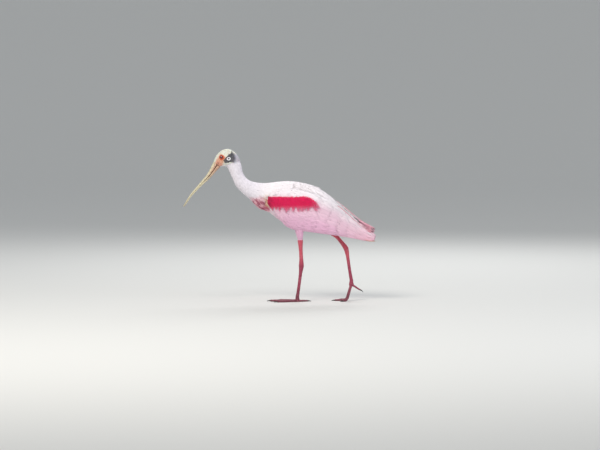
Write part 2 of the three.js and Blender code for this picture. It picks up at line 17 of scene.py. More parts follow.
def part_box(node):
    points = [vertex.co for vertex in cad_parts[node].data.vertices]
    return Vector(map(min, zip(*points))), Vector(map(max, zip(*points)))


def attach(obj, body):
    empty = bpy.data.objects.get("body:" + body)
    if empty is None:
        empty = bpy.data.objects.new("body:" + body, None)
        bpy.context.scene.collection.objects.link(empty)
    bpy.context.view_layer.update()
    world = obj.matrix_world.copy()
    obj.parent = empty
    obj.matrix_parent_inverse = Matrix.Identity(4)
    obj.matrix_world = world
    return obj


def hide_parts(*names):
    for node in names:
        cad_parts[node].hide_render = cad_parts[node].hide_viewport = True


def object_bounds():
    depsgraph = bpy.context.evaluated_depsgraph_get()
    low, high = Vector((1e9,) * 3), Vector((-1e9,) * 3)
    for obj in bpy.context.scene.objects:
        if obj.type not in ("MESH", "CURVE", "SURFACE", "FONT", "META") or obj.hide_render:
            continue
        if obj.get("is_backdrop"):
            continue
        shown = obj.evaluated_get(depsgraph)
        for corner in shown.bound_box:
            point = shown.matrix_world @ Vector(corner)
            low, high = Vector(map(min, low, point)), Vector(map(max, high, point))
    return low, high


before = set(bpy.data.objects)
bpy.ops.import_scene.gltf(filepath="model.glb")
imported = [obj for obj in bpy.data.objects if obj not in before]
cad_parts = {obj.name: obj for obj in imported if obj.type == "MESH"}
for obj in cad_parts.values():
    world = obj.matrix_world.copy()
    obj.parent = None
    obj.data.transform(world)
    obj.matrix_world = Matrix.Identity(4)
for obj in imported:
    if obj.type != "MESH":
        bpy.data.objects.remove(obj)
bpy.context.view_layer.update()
MM = 0.001
rng = np.random.default_rng(7)


# %% [markdown]
# ## Colours and node trees
# Colours are picked as sRGB hex values, as on a paint chart, but light adds up in linear values, so one
# function turns the one into the other. Others add a shader node with its settings, and link two sockets.

# %% Colours and nodes
def linear(code):
    parts = np.array([int(code[i : i + 2], 16) / 255 for i in (1, 3, 5)])
    return np.where(parts <= 0.04045, parts / 12.92, ((parts + 0.055) / 1.055) ** 2.4)


def rgba(code):
    return (*linear(code), 1.0)


def add_node(material, kind, settings=None, **links):
    tree = material.node_tree
    made = tree.nodes.new(kind)
    for name, value in (settings or {}).items():
        if name in made.inputs:
            made.inputs[name].default_value = value
        else:
            setattr(made, name, value)
    for name, source in links.items():
        free = (s for s in made.inputs if s.name.replace(" ", "_") == name and not s.is_linked)
        tree.links.new(source, next(s for s in free if s.enabled))
    return made


def connect(source, target):
    target.id_data.links.new(source, target)


def new_material(name, **shader_values):
    material = bpy.data.materials.new(name)
    material.use_nodes = True
    shader = material.node_tree.nodes["Principled BSDF"]
    for socket, value in shader_values.items():
        shader.inputs[socket.replace("_", " ")].default_value = value
    return material, shader


# %% [markdown]
# ## The camera
# A bird is photographed from far away through a long lens, which keeps its sides parallel. The camera
# stands 8 m to the bird's left and looks down at it by 3 degrees. At 600 pixels across, each pixel covers
# 3.05 mm at the bird, so the picture is 1.83 m wide there.

# %% The camera
PIXEL = 3.05 * MM
DISTANCE = 8.0
RAISED = math.radians(3)
aim = Vector(((300 - 279.6) * PIXEL, 0, 0.2336))
camera_data = bpy.data.cameras.new("telephoto")
camera_data.sensor_width = 36
camera_data.lens = 36 * DISTANCE / (600 * PIXEL)
camera_data.clip_end = 100
camera = bpy.data.objects.new("telephoto", camera_data)
camera.location = aim + DISTANCE * Vector((0, -math.cos(RAISED), math.sin(RAISED)))
camera.rotation_euler = (aim - camera.location).to_track_quat("-Z", "Y").to_euler()
bpy.context.scene.collection.objects.link(camera)
bpy.context.scene.camera = camera
print("lens of", round(camera_data.lens), "mm")


# %% [markdown]
# ## Floor and light
# A pale floor and soft light from large panels show white and pink plumage without hard shadows. The floor
# is flat for 9.5 m all round, and then turns up gently like a dish, so that no side has a hard horizon.

# %% The floor
FLAT_REACH = 9.5
DISH_CURVE = 0.05
sheet = bmesh.new()
bmesh.ops.create_grid(sheet, x_segments=60, y_segments=60, size=20)
for corner in sheet.verts:
    beyond = max(0, math.hypot(corner.co.x, corner.co.y) - FLAT_REACH)
    corner.co.z = DISH_CURVE * beyond * beyond
floor_mesh = bpy.data.meshes.new("studio_floor")
sheet.to_mesh(floor_mesh)
sheet.free()
for face in floor_mesh.polygons:
    face.use_smooth = True
studio_floor = bpy.data.objects.new("studio_floor", floor_mesh)
bpy.context.scene.collection.objects.link(studio_floor)
pale_paper, _ = new_material("matte backdrop paper", Base_Color=rgba("#d9d9d6"), Roughness=0.95)
floor_mesh.materials.append(pale_paper)
studio_floor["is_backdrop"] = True
print("floor of", len(floor_mesh.polygons), "faces")

# %% The lights
world = bpy.data.worlds.new("studio air")
world.use_nodes = True
world.node_tree.nodes["Background"].inputs["Color"].default_value = rgba("#e9edf2")
world.node_tree.nodes["Background"].inputs["Strength"].default_value = 0.62
bpy.context.scene.world = world
bpy.context.scene.view_settings.view_transform = "Standard"


def add_panel(name, place, size, power, tone):
    data = bpy.data.lights.new(name, "AREA")
    data.shape = "DISK"
    data.size = size
    data.energy = power
    data.color = linear(tone)
    panel = bpy.data.objects.new(name, data)
    panel.location = place
    panel.rotation_euler = (Vector((0, 0, 0.25)) - Vector(place)).to_track_quat("-Z", "Y").to_euler()
    bpy.context.scene.collection.objects.link(panel)
    print(name, power, "W")


add_panel("key_panel", (-1.1, -2.2, 2.6), 1.5, 68, "#fffaf2")
add_panel("fill_panel", (2.4, -1.6, 1.2), 2.0, 18, "#eef3ff")
add_panel("rim_panel", (0.6, 2.2, 2.2), 1.6, 34, "#ffffff")


# %% [markdown]
# ## The measurements of the body
# The CAD model's trunk and wings are smooth bodies through measured slices. Feathers have to follow the same
# forms, so the slices are given again here in millimetres, each number with the meaning it has there.

# %% Smooth lines through measurements
def smooth_line(knots, values):
    knots, values = np.asarray(knots, float), np.asarray(values, float)
    near = lambda i: np.clip(i, 0, len(knots) - 1)
    index = np.arange(len(knots))
    after, before = near(index + 1), near(index - 1)
    slopes = (values[after] - values[before]) / (knots[after] - knots[before])

    def at(x):
        x = np.asarray(x, float)
        i = np.clip(np.searchsorted(knots, x) - 1, 0, len(knots) - 2)
        span = knots[i + 1] - knots[i]
        t = np.clip((x - knots[i]) / span, 0, 1)
        a, b, c, d = 2 * t**3 - 3 * t**2 + 1, t**3 - 2 * t**2 + t, 3 * t**2 - 2 * t**3, t**3 - t**2
        return a * values[i] + b * span * slopes[i] + c * values[i + 1] + d * span * slopes[i + 1]

    return at


# %% The trunk's slices: upper edge x and z, lower edge x and z, half width
TRUNK = np.array(
    [
        (-201.5, 425.8, -180.1, 410.2, 13),
        (-194, 444.1, -172.5, 411, 16.5),
        (-177.4, 460.9, -166, 411.1, 19.5),
        (-156, 466.1, -161.5, 409.5, 20.5),
        (-136.8, 456, -159, 406, 20),
        (-123.1, 438.3, -156.2, 401, 19),
        (-115.1, 415.1, -152, 392, 18.2),
        (-110.6, 393.8, -144.5, 375, 18),
        (-98.7, 375.5, -132.5, 351.1, 19),
        (-78.2, 365.7, -113.3, 330.3, 22),
        (-53.8, 362.3, -91, 311.4, 27),
        (-29.4, 363.3, -67.6, 288.2, 34),
        (-2, 366.3, -34, 273, 42),
        (28.5, 367.5, 2.6, 246, 50),
        (65.1, 363.3, 42.2, 224.2, 54),
        (104.8, 352.3, 86.5, 218.5, 54),
        (147.5, 326.8, 132.2, 216.5, 49),
        (187.1, 290.5, 174.9, 214.5, 39),
        (220.7, 258.5, 211.5, 207.5, 27),
        (246, 236, 240.5, 199, 18),
        (267, 220, 263, 192.5, 13),
        (280, 206, 277, 187.5, 10),
    ]
)
stations = np.arange(len(TRUNK))
top_x, top_z, low_x, low_z, half_width = (smooth_line(stations, TRUNK[:, k]) for k in range(5))


def trunk_point(station, angle):
    """The trunk's skin in mm at a station and an angle from straight up."""
    rise = 0.5 + 0.5 * np.cos(angle)
    x = low_x(station) + (top_x(station) - low_x(station)) * rise
    z = low_z(station) + (top_z(station) - low_z(station)) * rise
    return np.stack(np.broadcast_arrays(x, half_width(station) * np.sin(angle), z), -1)


# %% The wings
LEFT, RIGHT = -1, 1
SIDES = ((LEFT, "left"), (RIGHT, "right"))
WING_START = {LEFT: (-34, 310.5), RIGHT: (-42, 312)}
WING_TILT = {LEFT: math.radians(20), RIGHT: math.radians(16.8)}
WING_P = [-4, 4, 20, 45, 75, 105, 140, 180, 220, 260, 300, 330, 345, 349]
WING = {
    "upper": [12, 26, 42, 55, 62, 65.5, 66, 62, 52, 35.5, 20, 14, 10, 6],
    "lower": [2, -7, -18, -36, -54, -57, -49.5, -41, -32, -24, -17.5, -12.5, -4.5, 2],
    "upper_rim": [40, 40, 40, 41, 42, 42, 41, 37.5, 30, 25, 17.5, 10, 7, 6],
    "lower_rim": [40, 38, 36, 33, 30, 29, 29, 28, 27, 25, 21, 17, 13, 10],
    "bulge": [3, 8, 14, 22, 26, 27, 26, 24, 20, 13, 7, 4.5, 3, 2],
    "depth": [6, 14, 25, 30, 30, 30, 30, 26, 18, 9, 5, 4, 3, 2],
}
wing_line = {name: smooth_line(WING_P, values) for name, values in WING.items()}


def wing_point(side, p, angle, reach=1.0):
    """A wing's skin in mm at p from its bend and an angle from its upper edge over its outer side."""
    v, out = np.cos(angle) * reach, np.sin(angle) * reach
    rise = (v + 1) / 2
    q = wing_line["lower"](p) * (1 - rise) + wing_line["upper"](p) * rise
    rim = wing_line["lower_rim"](p) * (1 - rise) + wing_line["upper_rim"](p) * rise
    y = rim + out * np.where(out > 0, wing_line["bulge"](p), wing_line["depth"](p))
    turn = WING_TILT[side]
    x = WING_START[side][0] + p * math.cos(turn) + q * math.sin(turn)
    z = WING_START[side][1] - p * math.sin(turn) + q * math.cos(turn)
    return np.stack(np.broadcast_arrays(x, side * np.maximum(1, y), z), -1)


def off_wing(side, p, v, height):
    """The point at a height in mm off the wing's outer side. v is -1 at the lower edge and 1 at the upper."""
    angle = np.arccos(np.clip(v, -0.985, 0.985))
    along = wing_point(side, p + 0.5, angle) - wing_point(side, p - 0.5, angle)
    around = wing_point(side, p, angle + 0.01) - wing_point(side, p, angle - 0.01)
    out = side * np.cross(along, around)
    out /= np.linalg.norm(out, axis=-1, keepdims=True)
    return wing_point(side, p, angle) + out * np.asarray(height)[..., None]


# %% [markdown]
# ## The markings
# The plumage is white over the back, pink below, and carmine on the shoulder. Skin and feathers have to
# agree, so one function gives the colour at any place on the bird, and the skin's vertices and the contour
# feathers ask it. The places were measured on the bird's left side, and both sides carry them.

# %% Chance that repeats
def patchy(points, size, seed=0):
    """Smooth noise from 0 to 1 with patches of about size mm."""
    spots = np.asarray(points, float) / size + 17.3 * seed + 100
    cell = np.floor(spots).astype(np.int64)
    part = spots - cell
    part = part * part * (3 - 2 * part)
    total = 0
    for corner in np.ndindex(2, 2, 2):
        key = ((cell + corner) * np.array([73856093, 19349663, 83492791])).sum(-1) + seed * 977
        key = (key ^ (key >> 13)) * 1274126177 & 0x7FFFFFFF
        share = np.prod(np.where(np.array(corner) == 1, part, 1 - part), -1)
        total = total + share * (key % 10007) / 10006
    return total


def ramp(x, low, high):
    t = np.clip((np.asarray(x, float) - low) / (high - low), 0, 1)
    return t * t * (3 - 2 * t)


def blend_in(base, code, share):
    share = np.asarray(share, float)[..., None]
    return base * (1 - share) + linear(code) * share


# %% The colour of the plumage
BACK_X = [-70, -7, 25, 77, 120, 156, 193, 224, 261, 295]
BACK_Z = [360, 366, 367, 360, 348, 329, 298, 271, 245, 205]
back_line = smooth_line(BACK_X, BACK_Z)


def plumage(points):
    """Linear colour of the plumage at points in mm."""
    x, _, z = np.moveaxis(np.asarray(points, float), -1, 0)
    x = x + 6 * (patchy(points, 14, 1) - 0.5)
    z = z + 6 * (patchy(points, 14, 2) - 0.5)
    below = back_line(x) - z
    tone = np.broadcast_to(linear("#faf2f6"), (*x.shape, 3))
    tone = blend_in(tone, "#f4cfe0", ramp(below, 22, 70) * ramp(x, -60, 0))
    tone = blend_in(tone, "#eebcd8", ramp(below, 70, 125) * ramp(x, -40, 30))
    tone = blend_in(tone, "#f0b2c8", 0.75 * ramp(x, 150, 290) * ramp(below, 6, 34))
    tone = blend_in(tone, "#ece6ee", ramp(x, -30, -90))
    tone = blend_in(tone, "#e3d6df", 0.5 * ramp(z, 345, 300) * ramp(x, -50, -100))
    breast = ramp(x, -104, -78) * ramp(x, -30, -50) * ramp(z, 330, 310) * ramp(z, 262, 280)
    mottle = ramp(patchy(points, 7, 3), 0.42, 0.62)
    tone = blend_in(tone, "#e79aa9", 0.75 * breast)
    tone = blend_in(tone, "#9d3f5c", 0.8 * breast * mottle)
    low_breast = ramp(x, -74, -60) * ramp(x, -32, -42) * ramp(z, 302, 292)
    tone = blend_in(tone, "#c21e62", 0.75 * low_breast * ramp(patchy(points, 9, 4), 0.4, 0.6))
    buff = ramp(x, -58, -48) * ramp(x, -28, -38) * ramp(z, 288, 300) * ramp(z, 334, 318)
    tone = blend_in(tone, "#dfc49c", 0.8 * buff * (0.5 + 0.5 * patchy(points, 8, 5)))
    return tone * (0.94 + 0.1 * patchy(points, 5, 6))[..., None]


STREAK = 3.4


def shoulder_patch(x, z, streak):
    """How far the carmine of the shoulder covers a place, with drips that hang down from it by the streak."""
    body = ramp(x, -43, -37) * ramp(x, 118, 84) * ramp(z + 12 * ramp(x, 84, 112), 326, 320)
    solid = ramp(z, 292, 299)
    drips = ramp(z, 274, 297) * ramp(streak, 0.3, 0.8)
    return body * np.maximum(solid, drips)


# %% [markdown]
# ## The skin
# Under the feathers a bird is one closed skin, with no seams between neck and body. The CAD flesh nodes are
# copied and welded by a voxel remesh, which turns everything it is given into one even surface. The wings'
# fleshy part goes in with them, as a tube through the wing's own slices.

# %% Copying nodes and shaping tubes
def copy_nodes(names):
    made = bmesh.new()
    for name in names:
        made.from_mesh(bpy.data.objects[name].data)
    bmesh.ops.remove_doubles(made, verts=made.verts, dist=1e-6)
    return made


def add_tube(made, rings, sides, place):
    """A closed tube in made: place(u, angle) gives points in mm at u of its length."""
    grid = bmesh.new()
    bmesh.ops.create_grid(grid, x_segments=rings, y_segments=sides, size=0.5)
    flat = np.array([v.co for v in grid.verts])
    spots = place(flat[:, 0] + 0.5, (flat[:, 1] + 0.5) * 2 * math.pi) * MM
    for corner, spot in zip(grid.verts, spots):
        corner.co = spot
    bmesh.ops.remove_doubles(grid, verts=grid.verts, dist=1e-6)
    bmesh.ops.holes_fill(grid, edges=grid.edges, sides=0)
    bmesh.ops.recalc_face_normals(grid, faces=grid.faces)
    mesh = bpy.data.meshes.new("tube")
    grid.to_mesh(mesh)
    grid.free()
    made.from_mesh(mesh)
    bpy.data.meshes.remove(mesh)


def place_mesh(mesh, name, material):
    """An object of mesh with its material, riding on the CAD model's one body."""
    mesh.materials.append(material)
    piece = bpy.data.objects.new(name, mesh)
    bpy.context.scene.collection.objects.link(piece)
    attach(piece, "root")
    print(name, len(mesh.polygons), "faces")
    return piece


def finish_piece(made, name, material):
    mesh = bpy.data.meshes.new(name)
    made.to_mesh(mesh)
    made.free()
    mesh.polygons.foreach_set("use_smooth", np.full(len(mesh.polygons), True))
    return place_mesh(mesh, name, material)


def remesh(made, voxel, passes):
    """The same shape as one even closed surface, smoothed."""
    mesh = bpy.data.meshes.new("rough")
    made.to_mesh(mesh)
    made.free()
    rough = bpy.data.objects.new("rough", mesh)
    bpy.context.scene.collection.objects.link(rough)
    modifier = rough.modifiers.new("voxels", "REMESH")
    modifier.mode = "VOXEL"
    modifier.voxel_size = voxel
    smoother = rough.modifiers.new("smooth", "SMOOTH")
    smoother.iterations = passes
    smoother.factor = 0.5
    even = rough.evaluated_get(bpy.context.evaluated_depsgraph_get()).to_mesh()
    made = bmesh.new()
    made.from_mesh(even)
    bpy.data.objects.remove(rough)
    bpy.data.meshes.remove(mesh)
    return made


def mesh_points(mesh):
    flat = np.empty(len(mesh.vertices) * 3)
    mesh.vertices.foreach_get("co", flat)
    return flat.reshape(-1, 3)


def mesh_normals(mesh):
    flat = np.empty(len(mesh.vertices) * 3)
    mesh.vertices.foreach_get("normal", flat)
    return flat.reshape(-1, 3)


def paint(mesh, colours):
    layer = mesh.attributes.new("Tint", "FLOAT_COLOR", "POINT")
    opaque = np.concatenate([colours, np.ones((len(colours), 1))], 1)
    layer.data.foreach_set("color", opaque.astype(np.float32).ravel())


def move_points(piece, spots):
    """Sets the vertices of piece to spots, in mm."""
    piece.data.vertices.foreach_set("co", (spots * MM).ravel())
    piece.data.update()


# %% One skin
FLESH = ["head", "neck_upper", "neck_lower", "torso", "thigh_left", "thigh_right"]
COAT_DEPTH = 2.2
SKIN_VOXEL = 1.9 * MM
CORE_START, CORE_LENGTH, CORE_REACH = -3, 289, 0.97


def wing_core(side):
    """Places points on the fleshy part of a wing, closer together at its two ends."""
    way = lambda u: CORE_START + CORE_LENGTH * (0.5 - 0.5 * np.cos(u * np.pi))
    return lambda u, angle: wing_point(side, way(u), angle, CORE_REACH)


skin_shape = copy_nodes(FLESH)
for side in (LEFT, RIGHT):
    add_tube(skin_shape, 40, 24, wing_core(side))
skin_shape = remesh(skin_shape, SKIN_VOXEL, 4)

# The head gets finer faces, for its wrinkles and markings.
fine = [
    edge
    for edge in skin_shape.edges
    if all(v.co.x < -112 * MM and v.co.z > (415 + 0.25 * (v.co.x / MM + 150)) * MM for v in edge.verts)
]
bmesh.ops.subdivide_edges(skin_shape, edges=fine, cuts=2, use_grid_fill=True)

skin_material, skin_shader = new_material("bare skin and down", Roughness=0.62)
skin_tint = add_node(skin_material, "ShaderNodeVertexColor", {"layer_name": "Tint"})
place_node = add_node(skin_material, "ShaderNodeTexCoord")
skin_place = place_node.outputs["Object"]
PORES = {"Scale": 900.0, "Detail": 5.0}
FOLDS = {"Scale": 420.0, "feature": "DISTANCE_TO_EDGE"}
pores = add_node(skin_material, "ShaderNodeTexNoise", PORES, Vector=skin_place)
folds = add_node(skin_material, "ShaderNodeTexVoronoi", FOLDS, Vector=skin_place)
relief = add_node(skin_material, "ShaderNodeMath", {"operation": "ADD"})
connect(pores.outputs["Fac"], relief.inputs[0])
connect(folds.outputs["Distance"], relief.inputs[1])
skin_bump = add_node(
    skin_material, "ShaderNodeBump", {"Strength": 0.35, "Distance": 0.0006}, Height=relief.outputs["Value"]
)
connect(skin_bump.outputs["Normal"], skin_shader.inputs["Normal"])
connect(skin_tint.outputs["Color"], skin_shader.inputs["Base Color"])
skin_shader.inputs["Subsurface Weight"].default_value = 0.05

skin = finish_piece(skin_shape, "skin", skin_material)
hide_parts(*FLESH)


# %% [markdown]
# ## The head's markings
# A grown spoonbill's head is bare. The crown is pale greenish white, the face is orange round the eye, and a
# black band runs round the ear from the crown to the throat. The ear opening is a white ring.

# %% The colour of the bare head
EYE = np.array([-176.4, 440.5])
EAR = np.array([-154.2, 436.0])
BAND = np.array([(-146, 458), (-171, 431), (-167, 424.5), (-137, 424), (-134, 436), (-139, 450)])


def outside(corners, x, z):
    """How far x, z lies outside a convex outline whose corners run anticlockwise, in mm."""
    ends = np.roll(corners, -1, 0)
    way = (ends - corners) / np.linalg.norm(ends - corners, axis=1)[:, None]
    gaps = [(x - c[0]) * w[1] - (z - c[1]) * w[0] for c, w in zip(corners, way)]
    return np.max(gaps, 0)


def head_skin(points):
    x, _, z = np.moveaxis(points, -1, 0)
    wobble = 4 * (patchy(points, 7, 11) - 0.5) + 2 * (patchy(points, 2.4, 15) - 0.5)
    tone = np.broadcast_to(linear("#dcdccf"), (*x.shape, 3))
    mottle = 0.6 * patchy(points, 3.6, 12) + 0.4 * patchy(points, 1.5, 17)
    tone = blend_in(tone, "#b7baa6", 0.5 * ramp(mottle, 0.45, 0.7) * ramp(z, 425, 445))
    along = ((x - EYE[0]) * -13 + (z - EYE[1]) * -26) / 29.1
    aside = ((x - EYE[0]) * -26 + (z - EYE[1]) * 13) / 29.1
    face = ramp(np.abs(aside + 1.5) + wobble, 15, 7) * ramp(along, -11, -3)
    tone = blend_in(tone, "#dd9a72", 0.85 * face)
    tone = blend_in(tone, "#cf8f80", 0.6 * face * ramp(along, 6, 20))
    tone = blend_in(tone, "#a2644f", 0.4 * face * ramp(patchy(points, 2.6, 16), 0.55, 0.75))
    eye_far = np.hypot(x - EYE[0], z - EYE[1])
    tone = blend_in(tone, "#cc4a22", 0.9 * ramp(eye_far + wobble * 0.4, 10.5, 6.5))
    gape = ramp(np.abs(aside - 0.5), 1.6, 0.5) * ramp(along, 16, 20)
    tone = blend_in(tone, "#4a2c26", 0.7 * gape)
    tone = blend_in(tone, "#a9a4b8", 0.75 * ramp(x + wobble, -146, -136) * ramp(z + wobble, 456, 446))
    apart = outside(BAND, x, z) + wobble
    soft = 2.2 + 7 * ramp(x, -150, -138)
    dark = ramp(-apart / soft, -0.6, 0.6)
    tone = blend_in(tone, "#2b2738", dark * (0.84 + 0.16 * patchy(points, 3, 13)))
    ear_far = np.hypot(x - EAR[0], (z - EAR[1]) * 1.15) + 0.25 * wobble
    tone = blend_in(tone, "#f4f3f5", ramp(np.abs(ear_far - 4.3), 1.9, 1.1))
    tone = blend_in(tone, "#55525f", ramp(ear_far, 3.0, 2.2))
    return tone


def is_bare(points):
    """1 on the bare head and 0 where down or feathers grow, in mm."""
    x, _, z = np.moveaxis(points, -1, 0)
    edge = ramp(z - 0.25 * (x + 150) + 4 * (patchy(points, 8, 14) - 0.5), 417, 424)
    return edge * ramp(x, -114, -124)


# %% Wrinkles, lids and ears
spots = mesh_points(skin.data) / MM
out = mesh_normals(skin.data)
bare = is_bare(spots)
wrinkle = (patchy(spots * [1, 1, 2.2], 3.2, 21) - 0.5) * 0.5 + (patchy(spots, 1.8, 22) - 0.5) * 0.35
eye_far = np.hypot(spots[:, 0] - EYE[0], spots[:, 2] - EYE[1])
ear_far = np.hypot(spots[:, 0] - EAR[0], spots[:, 2] - EAR[1])
height = bare * wrinkle - (1 - bare) * COAT_DEPTH * 0.8
height += bare * (0.9 * np.exp(-(((ear_far - 4.3) / 1.1) ** 2)) - 1.4 * np.exp(-((ear_far / 2.2) ** 2)))
spots = spots + out * height[:, None]
for side in (LEFT, RIGHT):
    flank = (spots[:, 1] * side > 8) & (spots[:, 2] > 425)
    near, x, z = flank & (eye_far < 10.5), spots[:, 0] - EYE[0], spots[:, 2] - EYE[1]
    terms = np.stack([np.ones(len(x)), x, z, x * x, x * z, z * z], -1)
    around = flank & (eye_far > 9) & (eye_far < 14)
    level = terms[near] @ np.linalg.lstsq(terms[around], spots[around, 1], rcond=None)[0]
    far = eye_far[near]
    lid = 1.3 * np.exp(-(((far - 6.1) / 0.95) ** 2))
    lid = lid + 0.15 * np.sin(far * 4.2) * ramp(far, 7, 8) - 2.5 * ramp(far, 5.2, 4)
    share = ramp(far, 10.5, 8.5)
    spots[near, 1] = spots[near, 1] * (1 - share) + (level + side * lid) * share
move_points(skin, spots)
tones = plumage(spots) * 0.9
tones = tones * (1 - bare[:, None]) + head_skin(spots) * bare[:, None]
paint(skin.data, tones)
skin_tree = BVHTree.FromPolygons([v.co for v in skin.data.vertices], [p.vertices for p in skin.data.polygons])

# %% [markdown]
# ## Feathers
# A feather is a thin curved vane on a shaft. Each one here is a closed sliver: a ridge along the shaft, two
# sharp edges, and a flat underside. Thousands are made at once by arrays, because a loop of separate objects
# would take minutes. Each carries its own colour, and a small patch of a map that is laid out on the body.

# %% Many feathers as one mesh
ROWS = np.array([0.16, 0.4, 0.68, 0.9])
OUTLINE = np.array([0.62, 1.0, 0.92, 0.52])
BAKE_PATCH = 0.003


def feather_mesh(name, place, tint, uv, material, rows=ROWS, outline=OUTLINE, tip=None):
    """place(t, s, top) gives points in mm, with t and s as arrays that broadcast over the feathers."""
    grid_t = np.concatenate([[0], np.repeat(rows, 3), [1]])
    grid_s = np.concatenate([[0], np.stack([-outline, outline * 0, outline], 1).ravel(), [0]])
    grid_top = np.concatenate([[0], np.tile([0, 1, 0], len(rows)), [0]])
    points = place(grid_t[None, :], grid_s[None, :], grid_top[None, :])
    count, size = points.shape[:2]
    last = size - 1
    faces = [(0, 2, 1), (0, 3, 2), (0, 1, 3)]
    for row in range(len(rows) - 1):
        a, b = 1 + 3 * row, 4 + 3 * row
        faces += [(a, a + 1, b + 1), (a, b + 1, b), (a + 1, a + 2, b + 2), (a + 1, b + 2, b + 1)]
        faces += [(a, b, b + 2), (a, b + 2, a + 2)]
    a = last - 3
    faces += [(last, a, a + 1), (last, a + 1, a + 2), (last, a + 2, a)]
    faces = np.array(faces)
    loops = (faces[None] + (np.arange(count) * size)[:, None, None]).reshape(-1, 3)
    flat = points.reshape(-1, 3) * MM
    mesh = bpy.data.meshes.new(name)
    mesh.vertices.add(len(flat))
    mesh.vertices.foreach_set("co", flat.astype(np.float32).ravel())
    mesh.loops.add(loops.size)
    mesh.loops.foreach_set("vertex_index", loops.ravel().astype(np.int32))
    mesh.polygons.add(len(loops))
    mesh.polygons.foreach_set("loop_start", np.arange(0, loops.size, 3, dtype=np.int32))
    mesh.update(calc_edges=True)
    shaped = bmesh.new()
    shaped.from_mesh(mesh)
    if shaped.calc_volume(signed=True) < 0:
        bmesh.ops.reverse_faces(shaped, faces=shaped.faces)
        shaped.to_mesh(mesh)
    shaped.free()
    order = np.empty(len(mesh.loops), np.int32)
    mesh.loops.foreach_get("vertex_index", order)
    patch = np.stack([np.broadcast_to(grid_s, (count, size)), np.broadcast_to(grid_t, (count, size))], -1)
    bake = uv[:, None, :] + BAKE_PATCH * (patch * [0.5, 1] - [0, 0.5])
    own = patch * [0.5, 1] + [0.5, 0]
    for layer_name, values in (("OFBake", bake), ("Vane", own)):
        layer = mesh.uv_layers.new(name=layer_name)
        layer.data.foreach_set("uv", values.reshape(-1, 2)[order].astype(np.float32).ravel())
    change = np.zeros_like(tint) if tip is None else tip - tint
    shade = tint[:, None, :] + change[:, None, :] * grid_t[None, :, None] ** 1.5
    shade = shade * (0.95 + 0.07 * grid_t)[None, :, None]
    paint(mesh, shade.reshape(-1, 3))
    print(count, "feathers:")
    return place_mesh(mesh, name, material)


# %% [markdown]
# ### What a feather is made of
# Feathers are keratin in fine barbs that slant away from the shaft. They scatter light softly and have a
# faint sheen, so the shader is rough with a little sheen, and a bump of slanting lines stands for the barbs.

# %% The feather material
def feather_material(name, barbs, sheen):
    material, shader = new_material(name, Roughness=0.78)
    shader.inputs["Sheen Weight"].default_value = sheen
    shader.inputs["Sheen Roughness"].default_value = 0.5
    shader.inputs["Specular IOR Level"].default_value = 0.3
    tint = add_node(material, "ShaderNodeVertexColor", {"layer_name": "Tint"})
    lay = add_node(material, "ShaderNodeUVMap", {"uv_map": "Vane"})
    apart = add_node(material, "ShaderNodeSeparateXYZ", Vector=lay.outputs["UV"])
    side = add_node(material, "ShaderNodeMath", {"operation": "ABSOLUTE"})
    centred = add_node(material, "ShaderNodeMath", {"operation": "SUBTRACT"})
    connect(apart.outputs["X"], centred.inputs[0])
    centred.inputs[1].default_value = 0.5
    connect(centred.outputs["Value"], side.inputs[0])
    slant = add_node(material, "ShaderNodeMath", {"operation": "SUBTRACT"})
    connect(apart.outputs["Y"], slant.inputs[0])
    connect(side.outputs["Value"], slant.inputs[1])
    lines = add_node(material, "ShaderNodeMath", {"operation": "MULTIPLY"})
    connect(slant.outputs["Value"], lines.inputs[0])
    lines.inputs[1].default_value = barbs
    wave = add_node(material, "ShaderNodeMath", {"operation": "SINE"})
    connect(lines.outputs["Value"], wave.inputs[0])
    ripple = {"Strength": 0.25, "Distance": 0.0003}
    bump = add_node(material, "ShaderNodeBump", ripple, Height=wave.outputs["Value"])
    connect(bump.outputs["Normal"], shader.inputs["Normal"])
    connect(tint.outputs["Color"], shader.inputs["Base Color"])
    return material


down_material = feather_material("short contour feathers of keratin", 60, 0.1)
vane_material = feather_material("vaned feathers of keratin", 220, 0.1)

# %% [markdown]
# ## The coat of the trunk
# Contour feathers lie back along the body like tiles. Their roots are spread over the trunk's slices, snapped
# to the skin, and left out on the flanks under the shoulder's carmine plumes. They are short on the neck
# and long on the back.

# %% Rooting feathers on the trunk
def snap(points):
    """The nearest skin and the way out of it, for points in mm, and how far each one moved."""
    spots, outs, far = np.empty_like(points), np.empty_like(points), np.empty(len(points))
    for i, point in enumerate(points * MM):
        spot, normal, _, gap = skin_tree.find_nearest(Vector(point))
        spots[i], outs[i], far[i] = spot, normal, gap
    return spots / MM, outs, far / MM


def trunk_roots(first, last, spacing):
    """Station and angle of roots spread evenly over the trunk, about spacing mm apart."""
    station, angle = [], []
    at = first
    while at < last:
        ring = trunk_point(at, np.linspace(0, 2 * np.pi, 40))
        round_it = np.linalg.norm(np.diff(ring, axis=0), axis=1).sum()
        count = max(6, int(round_it / spacing(at)))
        angle.append((np.arange(count) + rng.uniform(0, 1, count)) / count * 2 * np.pi)
        station.append(at + rng.uniform(-0.5, 0.5, count) * 0.05)
        step = np.linalg.norm(trunk_point(at + 0.1, 0.7) - trunk_point(at, 0.7)) / 0.1
        at += spacing(at) / max(step, 8)
    return np.concatenate(station), np.concatenate(angle)


def trunk_uv(station, angle):
    """Places on the lower half of the map for baking."""
    return np.stack([0.02 + 0.96 * station / stations[-1], 0.02 + 0.46 * (angle / (2 * np.pi) % 1)], -1)


def tail_ward(station, angle):
    along = trunk_point(station + 0.05, angle) - trunk_point(station - 0.05, angle)
    return along / np.linalg.norm(along, axis=-1, keepdims=True)


